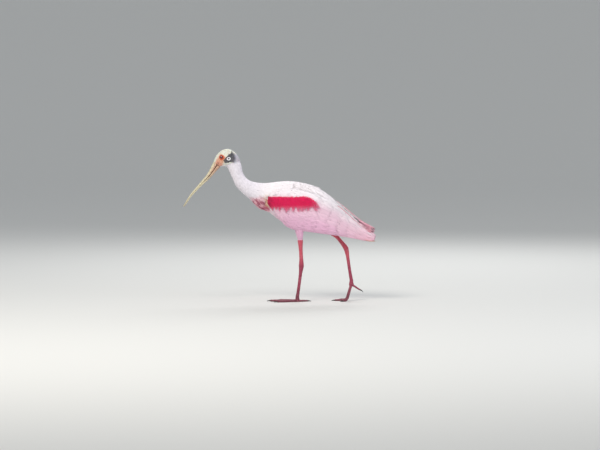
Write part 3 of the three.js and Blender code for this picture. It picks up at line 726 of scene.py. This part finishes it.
def lay_feathers(name, spots, outs, ahead, length, width, lift, droop, tint, uv):
    """Single feathers on the skin, each with its own length, width and lift."""
    ahead = ahead - outs * (ahead * outs).sum(-1, keepdims=True)
    ahead /= np.linalg.norm(ahead, axis=-1, keepdims=True)
    across = np.cross(outs, ahead)
    size = lambda value: np.broadcast_to(np.asarray(value, float), len(spots))[:, None]
    length, width, lift, droop = size(length), size(width), size(lift), size(droop)

    def place(t, s, top):
        run = t * length
        height = -0.8 + lift * (np.sqrt(t) - 0.4 * t**3) - droop * run * run
        height = height + width * (0.12 * top - 0.1 * s * s)
        moved = spots[:, None, :] + ahead[:, None, :] * run[..., None] + outs[:, None, :] * height[..., None]
        return moved + across[:, None, :] * (s * width / 2)[..., None]

    feather_mesh(name, place, tint, uv, down_material)


# %% The neck and the trunk
def coat_length(station):
    return np.interp(station, [4, 6, 8, 10, 12, 15, 21], [7, 8.5, 11, 14, 18, 22, 24])


def lay_trunk(name, first, last, spacing, turn_out):
    station, angle = trunk_roots(first, last, spacing)
    guess = trunk_point(station, angle)
    spots, outs, far = snap(guess)
    keep = (far < 7) & (is_bare(spots) < rng.uniform(0.2, 0.8, len(spots)))
    ahead = tail_ward(station, angle)
    keep &= np.abs((ahead * outs).sum(-1)) < 0.6
    keep &= (np.abs(spots[:, 1]) < 32) | (shoulder_patch(spots[:, 0], spots[:, 2], 0.5) < 0.1)
    station, angle, spots, outs, ahead = station[keep], angle[keep], spots[keep], outs[keep], ahead[keep]
    length = coat_length(station) * rng.uniform(0.85, 1.15, len(station))
    ahead = ahead + rng.normal(0, turn_out, ahead.shape)
    tint = plumage(spots) * rng.uniform(0.95, 1.03, (len(spots), 1))
    uv = trunk_uv(station, angle)
    width = np.interp(station, [4, 8, 12, 20], [2.8, 4.6, 8, 10]) * rng.uniform(0.8, 1.1, len(station))
    lift = np.interp(station, [4, 8, 12], [1.5, 2.0, 2.4]) * rng.uniform(0.8, 1.2, len(station))
    lay_feathers(name, spots, outs, ahead, length, width, lift, 0.0025, tint, uv)


def spaced(*gaps):
    return lambda at: float(np.interp(at, [4, 8, 11, 14, 20], gaps))


closeness = spaced(1.45, 1.8, 2.3, 2.9, 3.1)
for number, (first, last) in enumerate([(3.6, 7.5), (7.4, 11.2), (11, 14), (13.9, 16.6), (16.5, 20.1)]):
    lay_trunk(f"trunk_feathers_{number + 1}", first, last, closeness, 0.11 if last < 12 else 0.08)

# %% [markdown]
# ## The wings
# A folded wing shows its feathers in tiers, from short coverts at the bend to the long flight feathers that
# reach the tail. Each tier overlaps the next. Feathers follow lanes that narrow towards the wing's tip.

# %% Tiers of the wing
# Each tier has the p of its roots and tips, its number of lanes, its height off the wing and its rise.
TIERS = [
    (-6, 30, 40, 0.3, 0.016),
    (14, 62, 36, 0.3, 0.016),
    (40, 96, 33, 0.4, 0.016),
    (66, 130, 31, 0.5, 0.018),
    (92, 164, 30, 0.6, 0.02),
    (122, 204, 28, 0.7, 0.02),
    (150, 236, 25, 0.7, 0.019),
    (180, 268, 22, 0.6, 0.017),
    (206, 296, 19, 0.6, 0.015),
    (230, 322, 15, 0.5, 0.013),
    (254, 348, 11, 0.3, 0.012),
]
WING_ROWS = np.array([0.06, 0.2, 0.38, 0.56, 0.74, 0.88, 0.96])
WING_OUTLINE = np.array([0.5, 0.82, 1.0, 1.0, 1.0, 0.86, 0.6])
# Darker carmine along the upper rear edge of the wings: partly the carmine of the feathers there, partly
# painted shade where the two wings meet over the back.
UPPER_EDGE_CARMINE_AND_SHADE = "#d83a5e"


def wing_uv(side, p, v):
    """Places on the upper half of the map for baking."""
    start = 0.02 if side == LEFT else 0.52
    return np.stack([start + 0.46 * (p / WING_P[-1]).clip(0, 1), 0.52 + 0.23 * (v + 1)], -1)


def lay_wing(side, name):
    pieces = []
    for number, (root, tip, lanes, base, rise) in enumerate(TIERS):
        lane = 1.94 / lanes
        middle = -0.97 + lane * (np.arange(lanes) + 0.5) + rng.uniform(-0.08, 0.08, lanes) * lane
        uneven = 1.5 if root < 250 else 0.3
        start = root + rng.uniform(-6, 3, lanes) * uneven
        length = (tip - root) * rng.uniform(1 - 0.12 * uneven, 1.0, lanes)
        spread = lane * (0.95 if lanes > 16 else 1.1)

        def place(t, s, top):
            p = start[:, None] + t * length[:, None]
            v = middle[:, None] + s * spread
            height = base + rise * t * length[:, None] - (base + 2.4) * (1 - t) ** 6
            height = height + 0.5 * s + 0.25 * top - 0.15 * s * s
            return off_wing(side, p, v, height)

        seen = off_wing(LEFT, (start + 0.55 * length)[:, None], middle[:, None], np.zeros((lanes, 1)))[:, 0]
        tone = plumage(seen) * rng.uniform(0.95, 1.03, (lanes, 1))
        if root > 140:
            # The upper edge gets the carmine with its painted shade.
            tone = blend_in(tone, UPPER_EDGE_CARMINE_AND_SHADE, 0.55 * ramp(middle, 0.84, 0.95))
        uv = wing_uv(side, start + 0.5 * length, middle)
        tier = f"{name}_tier_{number + 1}"
        made = feather_mesh(tier, place, tone, uv, vane_material, WING_ROWS, WING_OUTLINE)
        pieces.append(made)
    return pieces


for side, name in SIDES:
    tiers = lay_wing(side, f"wing_{name}")
    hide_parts(f"wing_{name}")

# %% [markdown]
# The small coverts of the wing are too many for lanes. They are strewn over its front and upper part, short
# at the bend and longer behind, and the scapulars hang from the back over the wing's upper edge.

# %% Small coverts and scapulars
def lay_coverts(side, name):
    count = 11000
    p, v = rng.uniform(-3, 312, count), rng.uniform(-0.96, 0.97, count)
    kept = rng.uniform(0, 1, count) < np.maximum(ramp(p - 60 * v, 250, 130), 0.3 * ramp(p, 318, 270))
    p, v = p[kept], v[kept]
    length = np.interp(p, [0, 60, 150, 250, 312], [11, 17, 26, 34, 30]) * rng.uniform(0.85, 1.15, len(p))
    width = length * rng.uniform(0.2, 0.32, len(p))
    span = (wing_line["upper"](p) - wing_line["lower"](p)) / 2
    sink = rng.normal(0.1, 0.06, len(p))
    lift = rng.uniform(0.7, 1.4, len(p))
    order = rng.uniform(0, 0.5, len(p))

    def place(t, s, top):
        run = t * length[:, None]
        at_v = v[:, None] + (s * width[:, None] / 2 - sink[:, None] * run) / span[:, None]
        height = 0.5 + order[:, None] + lift[:, None] * (np.sqrt(t) - 0.7 * t**3) + 0.25 * top - 0.2 * s * s
        return off_wing(side, p[:, None] + run, at_v, height)

    seen = off_wing(LEFT, p + 0.5 * length, v, np.zeros(len(p)))
    tone = plumage(seen) * rng.uniform(0.96, 1.03, (len(p), 1))
    streak = patchy(seen * [1, 0, 0], STREAK, 31)
    tone = blend_in(tone, "#f0105e", shoulder_patch(seen[:, 0], seen[:, 2], streak))
    # The upper rear edge gets the carmine with its painted shade.
    tone = blend_in(tone, UPPER_EDGE_CARMINE_AND_SHADE, 0.6 * ramp(v, 0.89, 0.95) * ramp(p, 175, 215))
    feather_mesh(name, place, tone, wing_uv(side, p, v), down_material)


def lay_scapulars(side, name):
    count = 1100
    station, rise = rng.uniform(13.4, 17.8, count), rng.uniform(0.15, 0.85, count)
    root = trunk_point(station, side * rise)
    p = (root[:, 0] - WING_START[side][0]) + rng.uniform(58, 84, count)
    v = np.interp(rise, [0.15, 0.85], [0.97, 0.66]) + rng.uniform(-0.06, 0.06, count)
    goal = off_wing(side, p, v, rng.uniform(0.8, 2.0, count))
    out = off_wing(side, p, v, np.full(count, 2.0)) - off_wing(side, p, v, np.zeros(count)) + [0, 0, 1.5]
    along = goal - root
    along *= (rng.uniform(24, 36, count) / np.linalg.norm(along, axis=1))[:, None].clip(0, 1)
    across = np.cross(out, along)
    across /= np.linalg.norm(across, axis=1)[:, None]
    up = np.cross(along, across)
    up /= np.linalg.norm(up, axis=1)[:, None]
    arch = rng.uniform(1.4, 2.6, count)

    def place(t, s, top):
        bow = arch[:, None] * (np.sqrt(t) - 0.5 * t**3) + 0.3 * top - 0.3 * s * s - 0.8
        line = root[:, None, :] + along[:, None, :] * t[..., None]
        return line + across[:, None, :] * (s * 3.6)[..., None] + up[:, None, :] * bow[..., None]

    tone = plumage(root + along * 0.6) * rng.uniform(0.97, 1.02, (count, 1))
    feather_mesh(name, place, tone, wing_uv(side, p, v), down_material)


def lay_lining(side, name):
    count = 9
    v = np.linspace(-0.8, 0.9, count)
    start, length = rng.uniform(230, 238, count), rng.uniform(103, 108, count)

    def place(t, s, top):
        height = -1.6 - 0.5 * top + 0.5 * s
        return off_wing(side, start[:, None] + t * length[:, None], v[:, None] + s * 0.17, height)

    tone = np.broadcast_to(linear("#f5bccd"), (count, 3))
    uv = wing_uv(side, start, v)
    feather_mesh(name, place, tone, uv, vane_material, WING_ROWS, WING_OUTLINE)


for side, name in SIDES:
    lay_coverts(side, f"wing_{name}_coverts")
    lay_scapulars(side, f"wing_{name}_scapulars")
    lay_lining(side, f"wing_{name}_lining")

# %% [markdown]
# ## The carmine plumes
# The lesser coverts of the shoulder are carmine, narrow and hair-like, and hang down over the pink wing, so
# the patch has a firm upper edge and drips below. They are thin feathers that start high and point down.

# %% The shoulder's plumes
def lay_plumes(side, name):
    count = 5200
    x = rng.uniform(-32, 118, count)
    drop = 13 * ramp(x, 80, 116)
    level = np.stack([x, x * 0, x * 0], -1)
    upper_edge = 322 - drop + 3 * (patchy(level, 5, 32) - 0.5)
    z = upper_edge - (32 - 1.2 * drop) * rng.uniform(0, 1, count)
    turn = WING_TILT[LEFT]
    dx, dz = x - WING_START[LEFT][0], z - WING_START[LEFT][1]
    p = dx * math.cos(turn) - dz * math.sin(turn)
    q = dx * math.sin(turn) + dz * math.cos(turn)
    v = 2 * (q - wing_line["lower"](p)) / (wing_line["upper"](p) - wing_line["lower"](p)) - 1
    streak = patchy(level, STREAK, 31)
    low = ramp(z, 300, 292)
    kept = rng.uniform(0, 1, count) < ramp(x, 120, 66) * (1 - low * ramp(streak, 0.8, 0.35))
    p, v, x, z, streak = p[kept], v[kept], x[kept], z[kept], streak[kept]
    length = (6 + 19 * streak**2) * rng.uniform(0.65, 1.2, len(p))
    span = (wing_line["upper"](p) - wing_line["lower"](p)) / 2
    back = 0.25 + 0.4 * ramp(x, 70, 118) + rng.normal(0, 0.12, len(p))
    lift = rng.uniform(3.4, 5.0, len(p))

    def place(t, s, top):
        run = t * length[:, None]
        at_p = p[:, None] + back[:, None] * run + s * 0.62
        at_v = v[:, None] - run * (1 - 0.5 * back[:, None]) / span[:, None]
        height = 2.4 + (lift[:, None] - 2.4) * np.sqrt(t) + 0.25 * top
        return off_wing(side, at_p, at_v, height)

    tone = np.broadcast_to(linear("#f4075a"), (len(p), 3))
    tone = blend_in(tone, "#b00840", 0.75 * ramp(x, -14, -31))
    tone = blend_in(tone, "#ff2a78", 0.4 * rng.uniform(0, 1, len(p)))
    paler = 0.6 * ramp(z, 300, 292) * rng.uniform(0, 1, len(p)) + 0.35 * ramp(x, 92, 116)
    tone = blend_in(tone, "#f48fb4", paler)
    end = blend_in(tone, "#f6b4cf", 0.8 * ramp(z - 0.6 * length, 300, 282))
    uv = wing_uv(side, p, v)
    feather_mesh(name, place, tone, uv, down_material, tip=end)


for side, name in SIDES:
    lay_plumes(side, f"wing_{name}_plumes")

# %% [markdown]
# ## The thighs
# Short feathers cover the thighs and end in a ragged edge that hangs over the bare leg.

# %% Thigh feathers
def lay_thigh(name):
    copy = copy_nodes([f"thigh_{name}"])
    area = np.array([f.calc_area() for f in copy.faces])
    picks = rng.choice(len(area), 2600, p=area / area.sum())
    copy.faces.ensure_lookup_table()
    corners = np.array([[v.co for v in copy.faces[i].verts[:3]] for i in range(len(area))])[picks]
    ends = [v.co for v in copy.verts]
    foot = np.array(min(ends, key=lambda end: end.z)) / MM
    copy.free()
    share = rng.dirichlet((1, 1, 1), len(picks))
    points = (corners * share[..., None]).sum(1) / MM
    points = points[points[:, 2] > foot[2] + (2.5 if name == "left" else 16)]
    spots, outs, far = snap(points)
    kept = far < 6
    spots, outs = spots[kept], outs[kept]
    ahead = foot - spots.mean(0) + rng.normal(0, 3, spots.shape)
    tint = plumage(spots) * rng.uniform(0.95, 1.03, (len(spots), 1))
    length = rng.uniform(7, 11, len(spots))
    uv = np.stack([0.3 + 0.001 * (spots[:, 0] - foot[0]), 0.02 + 0.001 * (spots[:, 2] - foot[2])], -1)
    title = f"thigh_{name}_feathers"
    lay_feathers(title, spots, outs, ahead, length, 3.0, 1.6, 0.004, tint, uv)


for name in ("left", "right"):
    lay_thigh(name)

# %% [markdown]
# ## The tail
# A spoonbill's tail is short, and orange buff under the pink wing tips. Twelve stiff feathers fan out from
# the rump, the middle ones on top, with the pink coverts over and under their roots.

# %% Tail feathers
TAIL_ROOT = np.array([236.0, 202.0])
TAIL_SLOPE = math.radians(17)


def lay_tail():
    count = 12
    seat = np.arange(count) - (count - 1) / 2
    turn = np.radians(3.4) * seat
    length = 60 * (1 - 0.0065 * seat**2)

    def place(t, s, top):
        along, across = t * length[:, None], s * 6.4
        out = along * np.cos(turn)[:, None] - across * np.sin(turn)[:, None]
        y = seat[:, None] * 1.5 + along * np.sin(turn)[:, None] + across * np.cos(turn)[:, None]
        height = -0.85 * np.abs(seat)[:, None] + 0.5 * top - 0.3 * s * s
        x = TAIL_ROOT[0] + out * math.cos(TAIL_SLOPE) + height * math.sin(TAIL_SLOPE)
        z = TAIL_ROOT[1] - out * math.sin(TAIL_SLOPE) + height * math.cos(TAIL_SLOPE)
        return np.stack(np.broadcast_arrays(x, y, z), -1)

    tone = np.broadcast_to(linear("#f0b596"), (count, 3)) * rng.uniform(0.93, 1.03, (count, 1))
    uv = np.stack([0.9 + 0.004 * seat, np.full(count, 0.5)], -1)
    name = "tail_feathers"
    return feather_mesh(name, place, tone, uv, vane_material, WING_ROWS, WING_OUTLINE)


def lay_tail_coverts():
    count = 420
    above = np.arange(count) % 2 == 0
    station = rng.uniform(17.4, 19.2, count)
    angle = rng.uniform(-1.1, 1.1, count) + np.where(above, 0, np.pi)
    spots, outs, far = snap(trunk_point(station, angle))
    ahead = np.where(above[:, None], [0.85, 0, -0.5], [0.95, 0, -0.24]) + rng.normal(0, 0.03, (count, 3))
    kept = (far < 5) & (np.abs((ahead * outs).sum(-1)) < 0.5)
    station, angle, spots, outs, ahead, above = (k[kept] for k in (station, angle, spots, outs, ahead, above))
    length = np.where(above, rng.uniform(32, 44, len(spots)), rng.uniform(17, 23, len(spots)))
    tone = plumage(spots)
    tone = blend_in(tone, "#f8dde6", np.where(above, 0.6, 0))
    tone = blend_in(tone, "#e4506f", np.where(above, 0.2 * rng.uniform(0, 1, len(spots)), 0.65))
    uv = trunk_uv(station, angle)
    name = "tail_coverts"
    lift = np.where(above, 2.0, 1.3)
    lay_feathers(name, spots, outs, ahead, length, 7.5, lift, 0.001, tone, uv)


tail_feathers = lay_tail()
lay_tail_coverts()
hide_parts("tail")

# %% [markdown]
# ## The bill
# The bill is horn over bone: long, flat and spoon-shaped, rough and ridged near the face, with a dark line
# where the halves meet. The two CAD halves are remeshed finely, and ridges are pressed into them.

# %% The bill's two halves
bill_material, bill_shader = new_material("ridged horn of the bill", Roughness=0.42)
bill_tint = add_node(bill_material, "ShaderNodeVertexColor", {"layer_name": "Tint"})
connect(bill_tint.outputs["Color"], bill_shader.inputs["Base Color"])
bill_place = add_node(bill_material, "ShaderNodeTexCoord")
GRAIN = {"Scale": 700.0, "Detail": 6.0}
GRAIN_RELIEF = {"Strength": 0.3, "Distance": 0.0004}
bill_grain = add_node(bill_material, "ShaderNodeTexNoise", GRAIN, Vector=bill_place.outputs["Object"])
bill_bump = add_node(bill_material, "ShaderNodeBump", GRAIN_RELIEF, Height=bill_grain.outputs["Fac"])
connect(bill_bump.outputs["Normal"], bill_shader.inputs["Normal"])
# Each row is the ridge's x and z, and the bill's depth there.
BILL = np.array(
    [
        (-201.7, 425.5, 26.3),
        (-210.6, 407.2, 20.5),
        (-223.1, 385.5, 15),
        (-241.7, 363.5, 10.8),
        (-257.3, 345, 8.6),
        (-272.8, 326.4, 7.2),
        (-284.1, 308.4, 6.2),
        (-290.2, 298.1, 5.2),
        (-294.6, 290.7, 3.6),
    ]
)
MOUTH_LINE = 0.56
MOUTH_WAY = np.array([0.78, 0, -0.62])


def along_bill(points):
    """How far along the bill points in mm lie, how far below its ridge, and how deep it is there."""
    at = np.linspace(0, len(BILL) - 1, 300)
    ridge_x, ridge_z, depth = (smooth_line(np.arange(len(BILL)), BILL[:, k])(at) for k in range(3))
    way = np.stack([np.gradient(ridge_x), np.gradient(ridge_z)], -1)
    way /= np.linalg.norm(way, axis=1)[:, None]
    run = np.concatenate([[0], np.cumsum(np.hypot(np.diff(ridge_x), np.diff(ridge_z)))])
    core_x, core_z = ridge_x - 4 * way[:, 1], ridge_z + 4 * way[:, 0]
    apart = np.hypot(points[:, None, 0] - core_x, points[:, None, 2] - core_z)
    near = apart.argmin(1)
    dx, dz = points[:, 0] - ridge_x[near], points[:, 2] - ridge_z[near]
    below = -dx * way[near, 1] + dz * way[near, 0]
    return run[near], np.abs(below), depth[near]


def make_bill(name):
    shape = remesh(copy_nodes([name]), 0.7 * MM, 4)
    piece = finish_piece(shape, f"{name}_horn", bill_material)
    spots, out = mesh_points(piece.data) / MM, mesh_normals(piece.data)
    run, below, depth = along_bill(spots)
    from_mouth = np.abs(below - MOUTH_LINE * depth)
    near_face = ramp(run, 80, 8)
    outer = ramp(from_mouth, 0.6, 2.4)
    ridges = np.sin(run * 1.7 + 2.5 * patchy(spots, 12, 41)) * near_face * 0.17
    rough = (patchy(spots, 2.6, 42) - 0.5) * 0.4 * (0.3 + near_face)
    spots = spots + out * (outer * (ridges + rough))[:, None]
    closing = 0.45 * ramp(from_mouth, 1.6, 0.5) * (1 if name == "bill_upper" else -1)
    spots += closing[:, None] * MOUTH_WAY
    spots[:, 0] += 1.6 * ramp(run, 2.5, 0.5)
    spots[:, 2] += 2.4 * ramp(run, 2.5, 0.5)
    move_points(piece, spots)
    mottle = 0.6 * patchy(spots, 4.3, 44) + 0.4 * patchy(spots, 1.9, 45)
    tone = np.broadcast_to(linear("#ddd4b4"), (len(spots), 3))
    tone = blend_in(tone, "#cf9c86", 0.8 * ramp(run, 75, 6) * ramp(below / depth, 0.12, 0.4))
    tone = blend_in(tone, "#8a7462", 0.45 * ramp(mottle, 0.48, 0.66) * ramp(run, 150, 20))
    # The lower edge of the bill is painted darker: painted shade on its underside.
    tone = blend_in(tone, "#6e5c50", 0.55 * ramp(below / depth, 0.86, 1.0))
    tone = blend_in(tone, "#3a2a26", 0.9 * ramp(from_mouth, 0.35 + 0.05 * depth, 0.1 + 0.02 * depth))
    tone = blend_in(tone, "#a08c70", 0.35 * ramp(run, 120, 172))
    paint(piece.data, tone)
    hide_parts(name)


for name in ("bill_upper", "bill_lower"):
    make_bill(name)

# %% [markdown]
# ## The eyes
# The eye is a wet ball with a dark red iris. A fine sphere replaces the CAD one, with the colours of pupil,
# iris and rim set by the distance from its axis, and a clear coat for the wet cornea.

# %% The eyes
eye_material, eye_shader = new_material("wet cornea over a red iris", Roughness=0.12)
eye_shader.inputs["Coat Weight"].default_value = 1.0
eye_shader.inputs["Coat Roughness"].default_value = 0.03
eye_tint = add_node(eye_material, "ShaderNodeVertexColor", {"layer_name": "Tint"})
connect(eye_tint.outputs["Color"], eye_shader.inputs["Base Color"])
for name in ("eye_left", "eye_right"):
    low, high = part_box(name)
    middle = (low + high) / 2
    ball = bmesh.new()
    bmesh.ops.create_uvsphere(ball, u_segments=64, v_segments=48, radius=(high.z - low.z) / 2)
    bmesh.ops.rotate(ball, verts=ball.verts, matrix=Matrix.Rotation(math.radians(90), 3, "X"))
    bmesh.ops.translate(ball, verts=ball.verts, vec=middle)
    eye = finish_piece(ball, f"{name}_ball", eye_material)
    spots = mesh_points(eye.data) / MM
    far = np.hypot(spots[:, 0] - middle.x / MM, spots[:, 2] - middle.z / MM)
    tone = np.broadcast_to(linear("#75130e"), (len(spots), 3))
    tone = blend_in(tone, "#b8341e", 0.45 * ramp(far, 2.6, 4.2))
    tone = blend_in(tone, "#0a0707", ramp(far, 2.1, 1.8))
    tone = blend_in(tone, "#2a0d0a", ramp(far, 4.3, 4.8))
    paint(eye.data, tone)
    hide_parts(name)

# %% [markdown]
# ## Legs and feet
# The legs are covered in small many-sided scales, larger down the front, and the toes in rings of scutes. The
# CAD limbs are remeshed as one piece for each leg, the scutes are raised, and a bump of cells stands for the
# scales.

# %% Scaly skin
leg_material, leg_shader = new_material("scaly leg skin", Roughness=0.5)
leg_tint = add_node(leg_material, "ShaderNodeVertexColor", {"layer_name": "Tint"})
leg_place = add_node(leg_material, "ShaderNodeTexCoord")
SCALES = {"Scale": 480.0, "feature": "DISTANCE_TO_EDGE"}
SCALE_RELIEF = {"Strength": 0.6, "Distance": 0.0006}
scales = add_node(leg_material, "ShaderNodeTexVoronoi", SCALES, Vector=leg_place.outputs["Object"])
leg_bump = add_node(leg_material, "ShaderNodeBump", SCALE_RELIEF, Height=scales.outputs["Distance"])
connect(leg_bump.outputs["Normal"], leg_shader.inputs["Normal"])
connect(leg_tint.outputs["Color"], leg_shader.inputs["Base Color"])
TOES = ["inner", "middle", "outer", "hind"]


def make_leg(name):
    nodes = [f"shank_{name}", f"tarsus_{name}", f"foot_{name}", *(f"toe_{name}_{toe}" for toe in TOES)]
    inside = [f"thigh_{name}", *(f"claw_{name}_{toe}" for toe in TOES)]
    shape = remesh(copy_nodes(nodes + inside), 0.85 * MM, 9)
    piece = finish_piece(shape, f"leg_{name}_skin", leg_material)
    spots, out = mesh_points(piece.data) / MM, mesh_normals(piece.data)
    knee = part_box(f"shank_{name}")[1].z / MM
    low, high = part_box(f"foot_{name}")
    foot = np.array((low + high) / 2) / MM
    spots[:, 2] = np.maximum(spots[:, 2], 0)
    off_floor = ramp(spots[:, 2], 0.2, 1.5)
    apart = np.linalg.norm(spots - foot, axis=1)
    on_toes = ramp(apart, 12, 18) * ramp(spots[:, 2], 30, 22)
    scutes = on_toes * ramp(out[:, 2], 0.1, 0.5) * 0.3 * np.sin(apart * 2 * np.pi / 3.2)
    plates = (1 - on_toes) * ramp(-out[:, 0], 0.2, 0.6) * 0.25 * np.sin(spots[:, 2] * 2 * np.pi / 3.6)
    under_down = -2.0 * ramp(spots[:, 2], knee - 1, knee + 2)
    height = scutes + plates + 0.5 * (patchy(spots, 1.9, 51) - 0.5) + under_down
    spots = spots + out * (height * off_floor)[:, None]
    move_points(piece, spots)
    tone = np.broadcast_to(linear("#c94f60"), (len(spots), 3))
    tone = blend_in(tone, "#97304c", ramp(spots[:, 2], 150, 95))
    tone = blend_in(tone, "#5e2836", 0.8 * ramp(spots[:, 2], 60, 12))
    tone = blend_in(tone, "#7a2a40", 0.3 * ramp(patchy(spots, 2.6, 53), 0.5, 0.72))
    tone = blend_in(tone, "#de8896", 0.25 * ramp(patchy(spots, 2.1, 52), 0.55, 0.75))
    paint(piece.data, tone)
    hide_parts(*nodes)


for name in ("left", "right"):
    make_leg(name)

# %% Claws
CLAW_HORN = rgba("#2b2422")
claw_material, claw_shader = new_material("dark horn of the claws", Base_Color=CLAW_HORN, Roughness=0.35)
claw_place = add_node(claw_material, "ShaderNodeTexCoord")
CLAW_GRAIN = {"Scale": 1500.0}
CLAW_RELIEF = {"Strength": 0.2, "Distance": 0.0002}
claw_grain = add_node(claw_material, "ShaderNodeTexNoise", CLAW_GRAIN, Vector=claw_place.outputs["Object"])
claw_bump = add_node(claw_material, "ShaderNodeBump", CLAW_RELIEF, Height=claw_grain.outputs["Fac"])
connect(claw_bump.outputs["Normal"], claw_shader.inputs["Normal"])
CLAW_SWELL = 0.3
for name in ("left", "right"):
    nodes = [f"claw_{name}_{toe}" for toe in TOES]
    claws = finish_piece(remesh(copy_nodes(nodes), 0.35 * MM, 2), f"claws_{name}", claw_material)
    spots = mesh_points(claws.data) / MM + mesh_normals(claws.data) * CLAW_SWELL
    spots[:, 2] = np.maximum(spots[:, 2], 0)
    move_points(claws, spots)
    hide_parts(*nodes)

# %% Measuring and finishing
low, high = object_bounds()
print("visual box in mm", [round(v / MM) for v in (*low, *high)])
